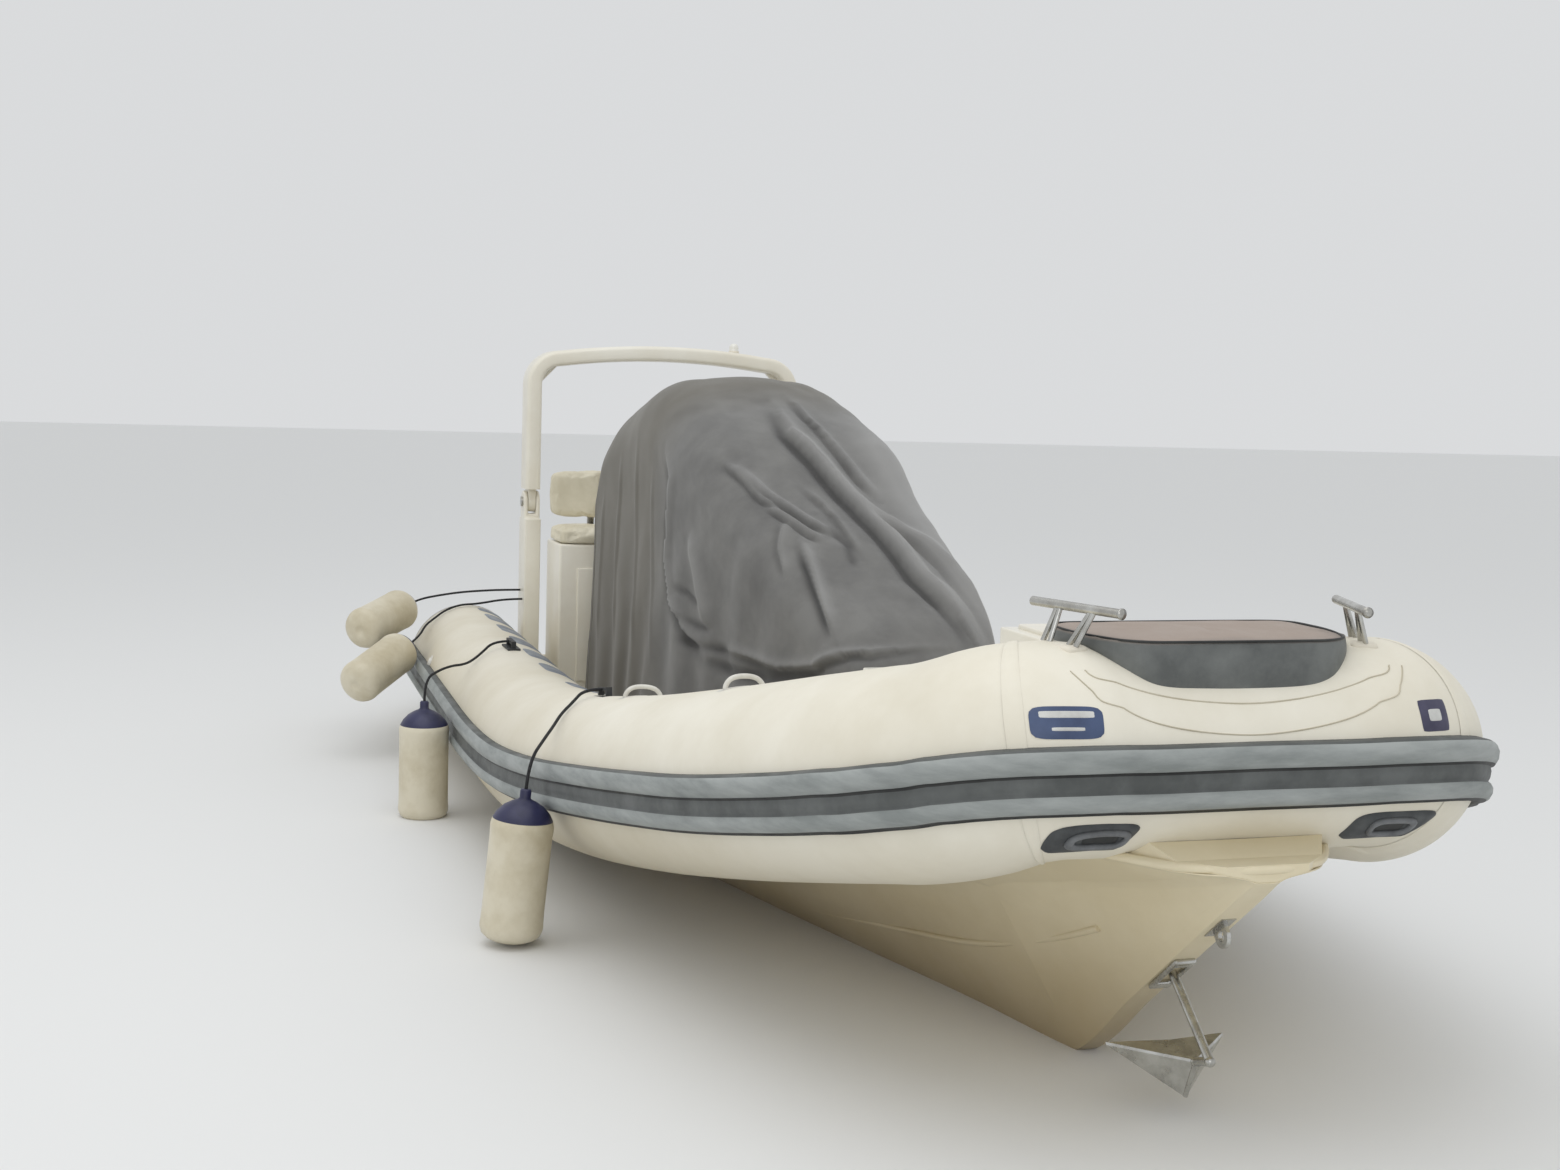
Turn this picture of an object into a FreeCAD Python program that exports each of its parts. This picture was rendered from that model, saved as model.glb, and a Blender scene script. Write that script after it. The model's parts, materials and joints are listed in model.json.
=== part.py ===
import FreeCAD
import Part
import math
import os
from FreeCAD import Placement, Rotation, Vector

# Inflatable boat with a rigid hull, a covered console, a folding arch and one outboard.
# Frame: +X to the bow, +Y to port, +Z up, origin on the centreline at the waterline.
# All sizes are millimetres.

os.makedirs("parts", exist_ok=True)
doc = FreeCAD.newDocument("InflatableBoat")
sheet = doc.addObject("Spreadsheet::Sheet", "Dims")

SIZES = [
    ("seat_gap", 0.3, "gap between curved pieces that seat on each other"),
    ("strake_gap", 0.9, "clearance under the strake, which twists as it sags"),
    # inflatable tubes
    ("tube_radius", 304, "radius of the side chambers"),
    ("tube_height", 399, "height of the side chambers' axis above the water"),
    ("tube_offset", 1156, "axis from the centreline where the bow bend starts"),
    ("tube_stern_offset", 1110, "axis from the centreline at the stern"),
    ("tube_stern", -2850, "aft end of the cylindrical chambers"),
    ("bend_length", 3797, "length of the oval that the sides follow towards the bow"),
    ("bow_fullness", 0.8, "power that makes that oval full"),
    ("sheer_rise", 717, "rise of the axis along that oval"),
    ("sheer_power", 1.465, "how late the sheer rises"),
    ("bow_tube_radius", 272, "radius of the bow chamber at the centreline"),
    ("swell_half_width", 600, "where the bow chamber reaches the side radius"),
    ("cone_length", 740, "length of the stern cones"),
    ("cone_tip_radius", 130, "radius of the stern cones' ends"),
    # rubbing strake
    ("strake_height", 178, "height of the strake"),
    ("strake_depth", 38, "how far its ribs stand off the tube"),
    ("strake_web", 25, "how far its middle band stands off"),
    ("strake_sag", 42, "how far the strake drops below the axis at its lowest"),
    ("sag_middle", 2850, "where along the boat it drops most"),
    ("sag_reach", 1050, "length over which the drop fades"),
    # hull and cockpit
    ("transom_face", -3400, "aft face of the transom"),
    ("transom_wall", 60, "thickness of the transom at the engine"),
    ("transom_top", 240, "top of the engine cut-out above the water"),
    ("cutout_half_width", 330, "half width of the engine cut-out"),
    ("sole_height", 260, "cockpit sole above the water"),
    ("sole_thickness", 12, "thickness of the sole panel"),
    ("sole_half_width", 850, "half width of the cockpit"),
    ("sole_taper", 400, "where the sole starts to narrow with the hull"),
    ("sole_waist", 950, "where the sole narrows faster"),
    ("sole_waist_half", 770, "half width of the sole there"),
    ("sole_fore_half", 470, "half width of the sole's front end"),
    ("sole_aft", -2950, "aft end of the cockpit sole"),
    ("sole_fore", 1750, "front end of the cockpit sole"),
    ("well_floor", 90, "floor of the splash well above the water"),
    ("well_half_width", 640, "half width of the splash well"),
    # bow locker and pad
    ("step_height", 800, "top of the bow step"),
    ("locker_height", 1150, "top of the bow locker"),
    ("locker_aft", 2550, "aft face of the high part of the locker"),
    ("locker_fore", 3600, "front end of the locker inside the bow chamber"),
    ("locker_half_width", 660, "half width of the locker"),
    ("pad_thickness", 225, "thickness of the bow pad"),
    ("pad_front", 3655, "front edge of the pad"),
    ("pad_nose_half", 300, "half width of the pad's front edge"),
    ("pad_cut", 115, "length of the pad's cut corners"),
    ("pad_spread", 75, "how much wider the pad is behind them"),
    ("pad_aft", 3235, "aft edge of the pad"),
    ("pad_half_width", 395, "half width of the pad at its aft edge"),
    ("lid_aft", 2760, "aft edge of the raised step behind the pad"),
    ("lid_fore", 3215, "its front edge"),
    ("lid_half_width", 300, "half width of the raised step"),
    ("lid_rise", 151, "height of the raised step over the locker"),
    # console cover
    ("cover_top", 2030, "highest point of the console cover"),
    ("cover_half_width", 540, "half width of the cover"),
    ("cover_aft", -1985, "aft face of the cover"),
    ("cover_toe_gap", 150, "cover's front foot behind the bow step"),
    # helm seat
    ("post_aft", -2560, "aft face of the helm seat box"),
    ("post_fore", -2180, "front face of the helm seat box"),
    ("post_half_width", 700, "half width of the helm seat box"),
    ("post_height", 850, "height of the helm seat box above the sole"),
    ("cushion_thickness", 95, "thickness of the seat cushion"),
    ("backrest_height", 265, "height of the backrest"),
    ("backrest_depth", 90, "thickness of the backrest"),
    ("backrest_lift", 25, "gap between cushion and backrest"),
    ("backrest_set", 20, "backrest behind the seat box's aft face"),
    ("stay_inset", 250, "backrest stays inside the seat's ends"),
    ("stay_width", 40, "width of the backrest stays"),
    ("stay_thickness", 8, "thickness of the backrest stays"),
    ("stay_grip", 160, "how far the stays reach down the seat box"),
    # arch
    ("arch_x", -2800, "arch legs' centre, fore and aft"),
    ("arch_depth", 200, "fore and aft width of the arch"),
    ("arch_inset", 50, "arch legs inside the cockpit's side"),
    ("arch_thickness", 90, "thickness of the arch section"),
    ("arch_top", 2160, "top of the arch beam at its ends"),
    ("arch_crown", 45, "rise of the beam in its middle"),
    ("arch_corner", 170, "outer radius of the arch corners"),
    ("lamp_offset", 425, "lamp on the arch from the centreline"),
    ("lamp_radius", 28, "radius of the lamp"),
    ("pivot_height", 1300, "height of the arch pivots"),
    ("pivot_radius", 16, "radius of the arch pivot pins"),
    ("pivot_clearance", 0.05, "radial clearance of running pins and shafts"),
    ("boss_radius", 62, "radius of the round pivot bosses"),
    ("foot_drop", 28, "top of the fixed legs below the bosses, clear of the folded hoop"),
    ("cheek", 22, "thickness of the cheeks that hold each pivot"),
    ("cheek_gap", 1, "side clearance beside the arch lugs"),
    # outboard
    ("tilt_back", 40, "tilt axis behind the transom face"),
    ("tilt_up", 70, "tilt axis above the transom top"),
    ("tilt_pin", 14, "radius of the tilt tube"),
    ("clamp_half_width", 150, "half width over the clamp bracket's ears"),
    ("ear", 20, "thickness of the clamp ears"),
    ("plate", 12, "thickness of the clamp plate"),
    ("steer_back", 120, "steering axis behind the tilt axis"),
    ("steer_pin", 20, "radius of the steering shaft"),
    ("barrel_radius", 42, "radius of the steering barrel"),
    ("barrel_length", 440, "length of the steering barrel"),
    ("yoke_gap", 0.5, "end clearance of the steering barrel"),
    ("leg_width", 120, "width of the engine's leg"),
    ("cowl_height", 630, "height of the engine cowl"),
    ("cowl_length", 660, "length of the engine cowl"),
    ("cowl_width", 520, "width of the engine cowl"),
    ("shaft_drop", 640, "propeller axis below the water"),
    ("gearcase_radius", 62, "radius of the gearcase"),
    ("propeller_radius", 182, "radius of the propeller"),
    ("hub_radius", 48, "radius of the propeller hub"),
    ("hub_length", 100, "length of the propeller hub"),
    ("prop_shaft", 15, "radius of the propeller shaft"),
    ("pitch_length", 430, "pitch of the propeller"),
    ("skeg_depth", 250, "depth of the fin under the gearcase"),
    ("leg_chord", 330, "fore and aft length of the leg at its top"),
    ("gearcase_length", 330, "length of the gearcase behind its nose"),
    # bow fittings and anchor
    ("bitt_bar", 330, "length of the mooring bars on the bow"),
    ("bitt_rod", 13, "radius of the mooring bars"),
    ("bitt_x", 3503, "mooring bars' place along the boat"),
    ("bitt_offset", 418, "mooring bars from the centreline"),
    ("bitt_level", 1450, "height of the mooring bars"),
    ("bitt_height", 96, "height of the mooring bars above their feet"),
    ("bitt_foot_out", 40, "their feet outboard of the bars"),
    ("bitt_turn", 19, "turn of the mooring bars from the boat's length, degrees"),
    ("handle_length", 248, "length of the bow lifting handles"),
    ("handle_offset", 418, "bow lifting handles from the centreline"),
    ("handle_angle", 40, "bow lifting handles below the chamber's widest line, degrees"),
    ("handle_width", 80, "width of the bow lifting handles"),
    ("eye_height", 598, "height of the tow eye on the stem"),
    ("eye_radius", 32, "outer radius of the tow eye's lug"),
    ("eye_bore", 15, "radius of the hole in the tow eye"),
    ("eye_plate", 12, "thickness of the tow eye's lug"),
    ("eye_stand", 30, "hole's centre off the stem"),
    ("socket_height", 400, "height of the anchor socket on the stem"),
    ("socket_length", 190, "length of the anchor socket"),
    ("anchor_span", 370, "width over the anchor's flukes"),
    ("anchor_reach", 400, "crown of the anchor ahead of the socket"),
    ("anchor_drop", 183, "crown of the anchor below the socket"),
    ("anchor_rod", 13, "radius of the anchor's shank"),
    # fenders
    ("fender_radius", 112, "radius of the fenders"),
    ("fender_body", 367, "length of a fender's cylindrical body"),
    ("line_radius", 6, "radius of the fender lines"),
    ("eye_stub", 40, "length of the rope eye over a fender's end"),
    ("line_rise", 140, "where a line starts to turn into its fender"),
    ("grip_length", 190, "length of the rubber grips on the starboard chamber"),
    ("grip_width", 60, "width of their patches"),
    ("grip_bar", 22, "width of their bars"),
    ("grip_lift", 26, "bar's underside over the chamber"),
    ("grip_depth", 14, "height of the bar"),
]
for row, (alias, value, note) in enumerate(SIZES, 1):
    sheet.set("A%d" % row, note)
    sheet.set("B%d" % row, str(value))
    sheet.setAlias("B%d" % row, alias)

# Table of offsets of the hull: stations along X, then heights and half breadths.
OFFSETS = [
    ("stern", -3400, -400, 12, 900, -20, 975, 120, 330),
    ("quarter", -1000, -410, 12, 920, 0, 1005, 122, 330),
    ("midship", 0, -405, 12, 900, 91, 1020, 127, 330),
    ("shoulder", 950, -375, 14, 840, 250, 925, 264, 430),
    ("foot", 1700, -315, 18, 700, 398, 812, 430, 560),
    ("entry", 2400, -165, 24, 480, 484, 713, 566, 690),
    ("waterstem", 2868, 0, 30, 330, 520, 595, 675, 780),
    ("forefoot", 3200, 268, 34, 220, 620, 474, 758, 860),
    ("rake", 3500, 511, 36, 140, 692, 360, 792, 930),
    ("beak", 3740, 705, 36, 90, 764, 215, 793, 818),
    ("nose", 3828, 776, 30, 60, 787, 120, 799, 820),
]
# Table of the chambers' axis round the bow: along X, half breadth, height.
BENDS = [
    ("cheek", 3270, 665, 970),
    ("corner", 3458, 515, 1058),
    ("brow", 3470, 300, 1052),
    ("prow", 3478, 0, 1045),
]
OFFSET_COLUMNS = ("x", "keel", "keelflat", "chinebreadth", "chine", "flangebreadth", "flange", "top")
row = len(SIZES) + 1
for station in OFFSETS:
    for column, value in zip(OFFSET_COLUMNS, station[1:]):
        sheet.set("A%d" % row, "hull offsets")
        sheet.set("B%d" % row, str(value))
        sheet.setAlias("B%d" % row, station[0] + "_" + column)
        row += 1
for station in BENDS:
    for column, value in zip(("x", "half", "height"), station[1:]):
        sheet.set("A%d" % row, "axis round the bow")
        sheet.set("B%d" % row, str(value))
        sheet.setAlias("B%d" % row, station[0] + "_" + column)
        row += 1
doc.recompute()


def num(alias):
    return float(sheet.get(alias))


PIECES = []


def piece(item, label):
    """Names one finished piece; its label is also the name of its file."""
    item.Label = label
    PIECES.append(item)
    return item


def shaped(label, shape, place=None):
    item = doc.addObject("Part::Feature", label)
    item.Shape = shape
    item.Placement = place or Placement()
    return item


def bound(kind, name, place, **sizes):
    """A primitive whose sizes are tied to the sheet."""
    item = doc.addObject(kind, name)
    for prop, rule in sizes.items():
        item.setExpression(prop, rule)
    item.Placement = place
    return item


def fused(name, items):
    item = doc.addObject("Part::MultiFuse", name)
    item.Shapes = items
    return item


def cut(name, base, tool):
    item = doc.addObject("Part::Cut", name)
    item.Base = base
    item.Tool = tool
    return item


def mirrored(name, source):
    """The same piece on the other side of the centreline."""
    item = doc.addObject("Part::Mirroring", name)
    item.Source = source
    item.Normal = Vector(0, 1, 0)
    item.Base = Vector(0, 0, 0)
    return item


def at(x, y, z, axis=None, angle=0):
    turn = Rotation(axis, angle) if axis else Rotation()
    return Placement(Vector(x, y, z), turn)


X_AXIS = Vector(1, 0, 0)
Y_AXIS = Vector(0, 1, 0)
Z_AXIS = Vector(0, 0, 1)

# ## Tube axis
# The axis runs straight from the stern, then bends in along an oval while it rises with
# the sheer, turns a corner at the mitred seam and crosses the blunt bow. Starboard is -Y.


def axis_point(angle):
    """Axis of the starboard chamber at a station angle of the side's oval."""
    u = math.sin(math.radians(angle))
    v = max(math.cos(math.radians(angle)), 0.0)
    y = -num("tube_offset") * v ** num("bow_fullness")
    z = num("tube_height") + num("sheer_rise") * u ** num("sheer_power")
    return Vector(num("bend_length") * u, y, z)


def bend(name):
    return Vector(num(name + "_x"), -num(name + "_half"), num(name + "_height"))


def axis_radius(y):
    share = min(1.0, abs(y) / num("swell_half_width"))
    return num("bow_tube_radius") + (num("tube_radius") - num("bow_tube_radius")) * share ** 2


STERN = Vector(num("tube_stern"), -num("tube_stern_offset"), num("tube_height"))
HALFWAY = (STERN + axis_point(0)) * 0.5
SIDE_ANGLES = [0, 14, 27, 40, 53]
side_axis = [STERN, HALFWAY] + [axis_point(a) for a in SIDE_ANGLES] + [bend("cheek"), bend("corner")]
bow_half = [bend("corner"), bend("brow"), bend("prow")]
bow_axis = bow_half + [Vector(p.x, -p.y, p.z) for p in reversed(bow_half[:-1])]
port_axis = [Vector(p.x, -p.y, p.z) for p in reversed(side_axis)]
whole_axis = side_axis + bow_axis[1:-1] + port_axis


def frames(points):
    """Centre, direction, outward and upward of each station on the whole axis."""
    found = []
    for i, p in enumerate(points):
        before = points[max(i - 1, 0)]
        after = points[min(i + 1, len(points) - 1)]
        if i == 0:
            along = Vector(1, 0, 0)
        elif i == len(points) - 1:
            along = Vector(-1, 0, 0)
        else:
            along = ((p - before).normalize() + (after - p).normalize()).normalize()
        out = along.cross(Z_AXIS).normalize()
        found.append((p, along, out, out.cross(along).normalize()))
    return found


STATIONS = frames(whole_axis)
COUNT_SIDE = len(side_axis)
COUNT_BOW = len(bow_axis)
SIDE = slice(0, COUNT_SIDE)
BOW = slice(COUNT_SIDE - 1, COUNT_SIDE - 1 + COUNT_BOW)
PORT = slice(COUNT_SIDE + COUNT_BOW - 2, None)


def chamber(name, part, grow=0.0):
    """One air chamber: circles at its stations, joined by ruled panels."""
    rings = []
    for k, (centre, along, out, up) in enumerate(STATIONS[part]):
        ring = doc.addObject("Part::Circle", "%sRing%d" % (name, k))
        ring.Radius = axis_radius(centre.y) + grow
        ring.Placement = Placement(centre, Rotation(out, up, along, "ZXY"))
        rings.append(ring)
    body = doc.addObject("Part::Loft", name)
    body.Sections = rings
    body.Solid = True
    body.Ruled = True
    return body


tube_starboard = piece(chamber("TubeStarboard", SIDE), "tube_starboard")
tube_bow = piece(chamber("TubeBow", BOW), "tube_bow")
tube_port = piece(chamber("TubePort", PORT), "tube_port")

# the same chambers grown by the seat gap, to cut the seats they lie in
seat_starboard = chamber("SeatStarboard", SIDE, num("seat_gap"))
seat_bow = chamber("SeatBow", BOW, num("seat_gap"))
seat_port = chamber("SeatPort", PORT, num("seat_gap"))

# ## Stern cones
seat_cones = []
for label, side in (("cone_starboard", -1), ("cone_port", 1)):
    cone = bound(
        "Part::Cone",
        label,
        at(num("tube_stern"), side * num("tube_stern_offset"), num("tube_height"), Y_AXIS, -90),
        Radius1="Dims.tube_radius",
        Radius2="Dims.cone_tip_radius",
        Height="Dims.cone_length",
    )
    piece(cone, label)
    seat_cone = bound(
        "Part::Cone",
        label + "Seat",
        cone.Placement,
        Radius1="Dims.tube_radius + Dims.seat_gap",
        Radius2="Dims.cone_tip_radius + Dims.seat_gap",
        Height="Dims.cone_length",
    )
    seat_cones.append(seat_cone)
doc.recompute()


def seated(shape):
    """Cuts the seats of the chambers and cones out of a shape."""
    for seat in [seat_starboard, seat_bow, seat_port] + seat_cones:
        shape = shape.cut(seat.Shape)
    return shape


# ## Rubbing strake
# A rubber profile with two ribs and a lower middle band, all the way round.


def strake_section(centre, along, out, up):
    radius = axis_radius(centre.y)
    inner = radius + num("strake_gap")
    half = num("strake_height") / 2
    fade = max(0.0, 1 - abs(centre.x - num("sag_middle")) / num("sag_reach"))
    dip = -math.asin(num("strake_sag") * fade / radius)
    out, up = out * math.cos(dip) + up * math.sin(dip), up * math.cos(dip) - out * math.sin(dip)
    reach = math.asin(half / inner)

    def spot(depth, rise):
        return centre + out * depth + up * rise

    def rim(angle):
        return spot(inner * math.cos(angle), inner * math.sin(angle))

    rib = radius + num("strake_depth")
    web = radius + num("strake_web")
    edge = radius * math.cos(reach) + 8
    line = [
        rim(reach),
        spot(edge + 14, half),
        spot(rib, half * 0.72),
        spot(rib + 2, half * 0.30),
        spot(web, half * 0.20),
        spot(web, -half * 0.26),
        spot(rib + 1, -half * 0.32),
        spot(rib - 2, -half * 0.78),
        spot(edge + 8, -half),
        rim(-reach),
    ]
    edges = [Part.Arc(rim(-reach), rim(0), rim(reach)).toShape()]
    edges += [Part.makeLine(a, b) for a, b in zip(line, line[1:])]
    return Part.Wire(edges)


strake = Part.makeLoft([strake_section(*s) for s in STATIONS], True, True)
piece(shaped("Strake", strake), "rubbing_strake")

# ## Hull
# A deep-vee moulding through the table of offsets, with the cockpit, the splash well
# and the engine cut-out taken out of its top, and the chambers' seats along its flanges.


def offset(station, column):
    return num(station[0] + "_" + column)


def hull_section(station):
    x = offset(station, "x")
    half = [
        (offset(station, "keelflat"), offset(station, "keel")),
        (offset(station, "chinebreadth"), offset(station, "chine")),
        (offset(station, "flangebreadth"), offset(station, "flange")),
        (offset(station, "flangebreadth"), offset(station, "top")),
    ]
    ring = [Vector(x, y, z) for y, z in half] + [Vector(x, -y, z) for y, z in reversed(half)]
    return Part.makePolygon(ring + ring[:1])


def block(x0, x1, half, z0, z1):
    return Part.makeBox(x1 - x0, 2 * half, z1 - z0, Vector(x0, -half, z0))


TOP = 1300
sole_under = num("sole_height") - num("sole_thickness")
hull = Part.makeLoft([hull_section(s) for s in OFFSETS], True, True)


def cockpit(z0, z1):
    """The cockpit's plan, which narrows forward with the hull."""
    plan = [
        (num("sole_aft"), num("sole_half_width")),
        (num("sole_taper"), num("sole_half_width")),
        (num("sole_waist"), num("sole_waist_half")),
        (num("sole_fore"), num("sole_fore_half")),
    ]
    ring = [Vector(x, y, z0) for x, y in plan] + [Vector(x, -y, z0) for x, y in reversed(plan)]
    return Part.Face(Part.makePolygon(ring + ring[:1])).extrude(Vector(0, 0, z1 - z0))


hull = hull.cut(cockpit(sole_under, TOP))
well_aft = num("transom_face") + num("transom_wall")
hull = hull.cut(block(well_aft, num("sole_aft"), num("well_half_width"), num("well_floor"), TOP))
hull = hull.cut(
    block(num("transom_face") - 1, well_aft, num("cutout_half_width"), num("transom_top"), TOP)
)
hull = seated(hull)
piece(shaped("Hull", hull), "hull")

# ## Cockpit sole
piece(shaped("Sole", seated(cockpit(sole_under, num("sole_height")))), "cockpit_sole")


# ## Bow locker
# A step and a locker that fill the bow between the chambers, on the hull's top.


def hull_top(x):
    stations = [(offset(s, "x"), offset(s, "top")) for s in OFFSETS]
    for (xa, za), (xb, zb) in zip(stations, stations[1:]):
        if xa <= x <= xb:
            return za + (zb - za) * (x - xa) / (xb - xa)
    return stations[-1][1]


fore = num("sole_fore")
under = [Vector(fore, 0, hull_top(fore))]
for s in OFFSETS:
    if fore < offset(s, "x") < num("locker_fore"):
        under.append(Vector(offset(s, "x"), 0, offset(s, "top")))
under.append(Vector(num("locker_fore"), 0, hull_top(num("locker_fore"))))
over = [
    Vector(num("locker_fore"), 0, num("locker_height")),
    Vector(num("locker_aft"), 0, num("locker_height")),
    Vector(num("locker_aft"), 0, num("step_height")),
    Vector(fore, 0, num("step_height")),
]
outline = under + over
face = Part.Face(Part.makePolygon(outline + outline[:1]))
face.translate(Vector(0, -num("locker_half_width"), 0))
locker = face.extrude(Vector(0, 2 * num("locker_half_width"), 0))
step = Part.makeBox(
    num("lid_fore") - num("lid_aft"),
    2 * num("lid_half_width"),
    num("lid_rise") + 30,
    Vector(num("lid_aft"), -num("lid_half_width"), num("locker_height") - 30),
)
locker = locker.fuse(step).removeSplitter()
piece(shaped("Locker", seated(locker)), "bow_locker")

# ## Bow pad
pad_plan = [
    (num("pad_front"), -num("pad_nose_half")),
    (num("pad_front"), num("pad_nose_half")),
    (num("pad_front") - num("pad_cut"), num("pad_nose_half") + num("pad_spread")),
    (num("pad_aft") + 40, num("pad_half_width")),
    (num("pad_aft"), num("pad_half_width") - 40),
    (num("pad_aft"), -num("pad_half_width") + 40),
    (num("pad_aft") + 40, -num("pad_half_width")),
    (num("pad_front") - num("pad_cut"), -num("pad_nose_half") - num("pad_spread")),
]
pad_base = num("locker_height") + num("seat_gap")
ring = [Vector(x, y, pad_base) for x, y in pad_plan]
pad = Part.Face(Part.makePolygon(ring + ring[:1])).extrude(Vector(0, 0, num("pad_thickness")))
piece(shaped("Pad", seated(pad)), "bow_pad")

# ## Console cover
# A draped cover: a tall hump over the console, and a slope down to the bow.
cover_foot = num("sole_height") + num("seat_gap")
cover_fore = num("sole_fore") - num("cover_toe_gap")
COVER = [
    # share of the length, share of the width, share of the height, corner
    (0.000, 1.06, 0.745, 170),
    (0.040, 1.04, 0.885, 190),
    (0.135, 1.00, 0.960, 210),
    (0.250, 1.00, 1.000, 240),
    (0.360, 1.00, 0.955, 240),
    (0.490, 0.96, 0.860, 240),
    (0.665, 0.85, 0.695, 230),
    (0.805, 0.74, 0.580, 210),
    (0.945, 0.63, 0.450, 180),
    (1.000, 0.56, 0.320, 120),
]


def cover_section(share, wide, tall, corner):
    x = num("cover_aft") + share * (cover_fore - num("cover_aft"))
    half = wide * num("cover_half_width")
    top = cover_foot + tall * (num("cover_top") - cover_foot)
    side = [(half + 30, cover_foot), (half, top - corner)]
    for step in (30, 60):
        a = math.radians(step)
        side.append((half - corner * (1 - math.cos(a)), top - corner * (1 - math.sin(a))))
    side.append((half - corner, top))
    ring = [Vector(x, y, z) for y, z in side] + [Vector(x, -y, z) for y, z in reversed(side)]
    return Part.makePolygon(ring + ring[:1])


cover = Part.makeLoft([cover_section(*s) for s in COVER], True, True)
piece(shaped("Cover", cover), "console_cover")

# ## Helm seat
post = bound(
    "Part::Box",
    "HelmSeatBox",
    at(num("post_aft"), -num("post_half_width"), num("sole_height")),
    Length="Dims.post_fore - Dims.post_aft",
    Width="2 * Dims.post_half_width",
    Height="Dims.post_height",
)
piece(post, "helm_seat_box")
cushion_base = num("sole_height") + num("post_height")
cushion = bound(
    "Part::Box",
    "SeatCushion",
    at(num("post_aft") + 10, -num("post_half_width"), cushion_base + num("seat_gap")),
    Length="Dims.post_fore - Dims.post_aft",
    Width="2 * Dims.post_half_width",
    Height="Dims.cushion_thickness",
)
piece(cushion, "seat_cushion")
backrest = bound(
    "Part::Box",
    "Backrest",
    at(
        num("post_aft") - num("backrest_set"),
        -num("post_half_width"),
        cushion_base + num("cushion_thickness") + num("backrest_lift"),
    ),
    Length="Dims.backrest_depth",
    Width="2 * Dims.post_half_width",
    Height="Dims.backrest_height",
)
piece(backrest, "seat_backrest")
stay_x = num("post_aft") - num("backrest_set") - num("seat_gap")
stay_top = cushion_base + num("cushion_thickness") + num("backrest_lift") + num("backrest_height") * 0.85
stay_low = cushion_base - num("stay_grip")


def stay(y):
    """A flat bar up the backrest, on a foot against the seat box."""
    wide_half = num("stay_width") / 2
    bar = Part.makeBox(
        num("stay_thickness"),
        2 * wide_half,
        stay_top - stay_low,
        Vector(stay_x - num("stay_thickness"), y - wide_half, stay_low),
    )
    foot = Part.makeBox(
        num("post_aft") - stay_x,
        2 * wide_half,
        num("stay_grip") * 0.8,
        Vector(stay_x, y - wide_half, stay_low + 10),
    )
    return bar.fuse(foot).removeSplitter()


stay_y = num("post_half_width") - num("stay_inset")
piece(shaped("StayStarboard", stay(-stay_y)), "backrest_stay_starboard")
piece(shaped("StayPort", stay(stay_y)), "backrest_stay_port")

# ## Arch
# Fixed feet with cheeks, a folding hoop whose lugs turn between them, and the pins.
pivot_z = num("pivot_height")
half_out = num("sole_half_width") - num("arch_inset")
thick = num("arch_thickness")
leg_mid = half_out - thick / 2
lug = thick - 2 * num("cheek") - 2 * num("cheek_gap")
boss = num("boss_radius")
depth = num("arch_depth")


def disc(x, y0, y1, z, radius):
    return Part.makeCylinder(radius, y1 - y0, Vector(x, y0, z), Y_AXIS)


for label, side in (("arch_foot_starboard", -1), ("arch_foot_port", 1)):
    y0 = side * leg_mid - thick / 2
    y1 = side * leg_mid + thick / 2
    stem = Part.makeBox(
        depth,
        thick,
        pivot_z - boss - num("foot_drop") - num("sole_height"),
        Vector(num("arch_x") - depth / 2, y0, num("sole_height")),
    )
    ear = Part.makeBox(
        2 * boss,
        thick,
        boss + num("foot_drop"),
        Vector(num("arch_x") - boss, y0, pivot_z - boss - num("foot_drop")),
    )
    foot = stem.fuse([ear, disc(num("arch_x"), y0, y1, pivot_z, boss)])
    slot = Part.makeBox(
        4 * boss,
        lug + 2 * num("cheek_gap"),
        3 * boss,
        Vector(num("arch_x") - 2 * boss, side * leg_mid - lug / 2 - num("cheek_gap"), pivot_z - boss - 6),
    )
    bore = disc(num("arch_x"), y0 - 1, y1 + 1, pivot_z, num("pivot_radius"))
    piece(shaped(label, foot.cut(slot).cut(bore).removeSplitter()), label)
    knob = disc(num("arch_x"), y1, y1 + 10, pivot_z, 28)
    if side < 0:
        knob = disc(num("arch_x"), y0 - 10, y0, pivot_z, 28)
    pin = disc(num("arch_x"), y0, y1, pivot_z, num("pivot_radius")).fuse(knob)
    piece(shaped(label.replace("foot", "pin"), pin), label.replace("foot", "pin"))


def hoop_outline(inset):
    """Front outline of the hoop, from one leg over the crown to the other."""
    half = half_out - inset
    top = num("arch_top") - inset
    corner = num("arch_corner") - inset * 0.5
    low = pivot_z + boss + 12
    centre = Vector(0, half - corner, top - corner)
    diagonal = corner * math.sqrt(0.5)
    knee = [
        Vector(0, half, top - corner),
        Vector(0, centre.y + diagonal, centre.z + diagonal),
        Vector(0, centre.y, top),
    ]
    crown = Vector(0, 0, top + num("arch_crown"))
    port = [
        Part.makeLine(Vector(0, half, low), knee[0]),
        Part.Arc(*knee).toShape(),
    ]
    star = [
        Part.Arc(*[Vector(0, -p.y, p.z) for p in reversed(knee)]).toShape(),
        Part.makeLine(Vector(0, -half, top - corner), Vector(0, -half, low)),
    ]
    middle = Part.Arc(knee[2], crown, Vector(0, -knee[2].y, top)).toShape()
    return port + [middle] + star, Vector(0, half, low), Vector(0, -half, low)


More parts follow.
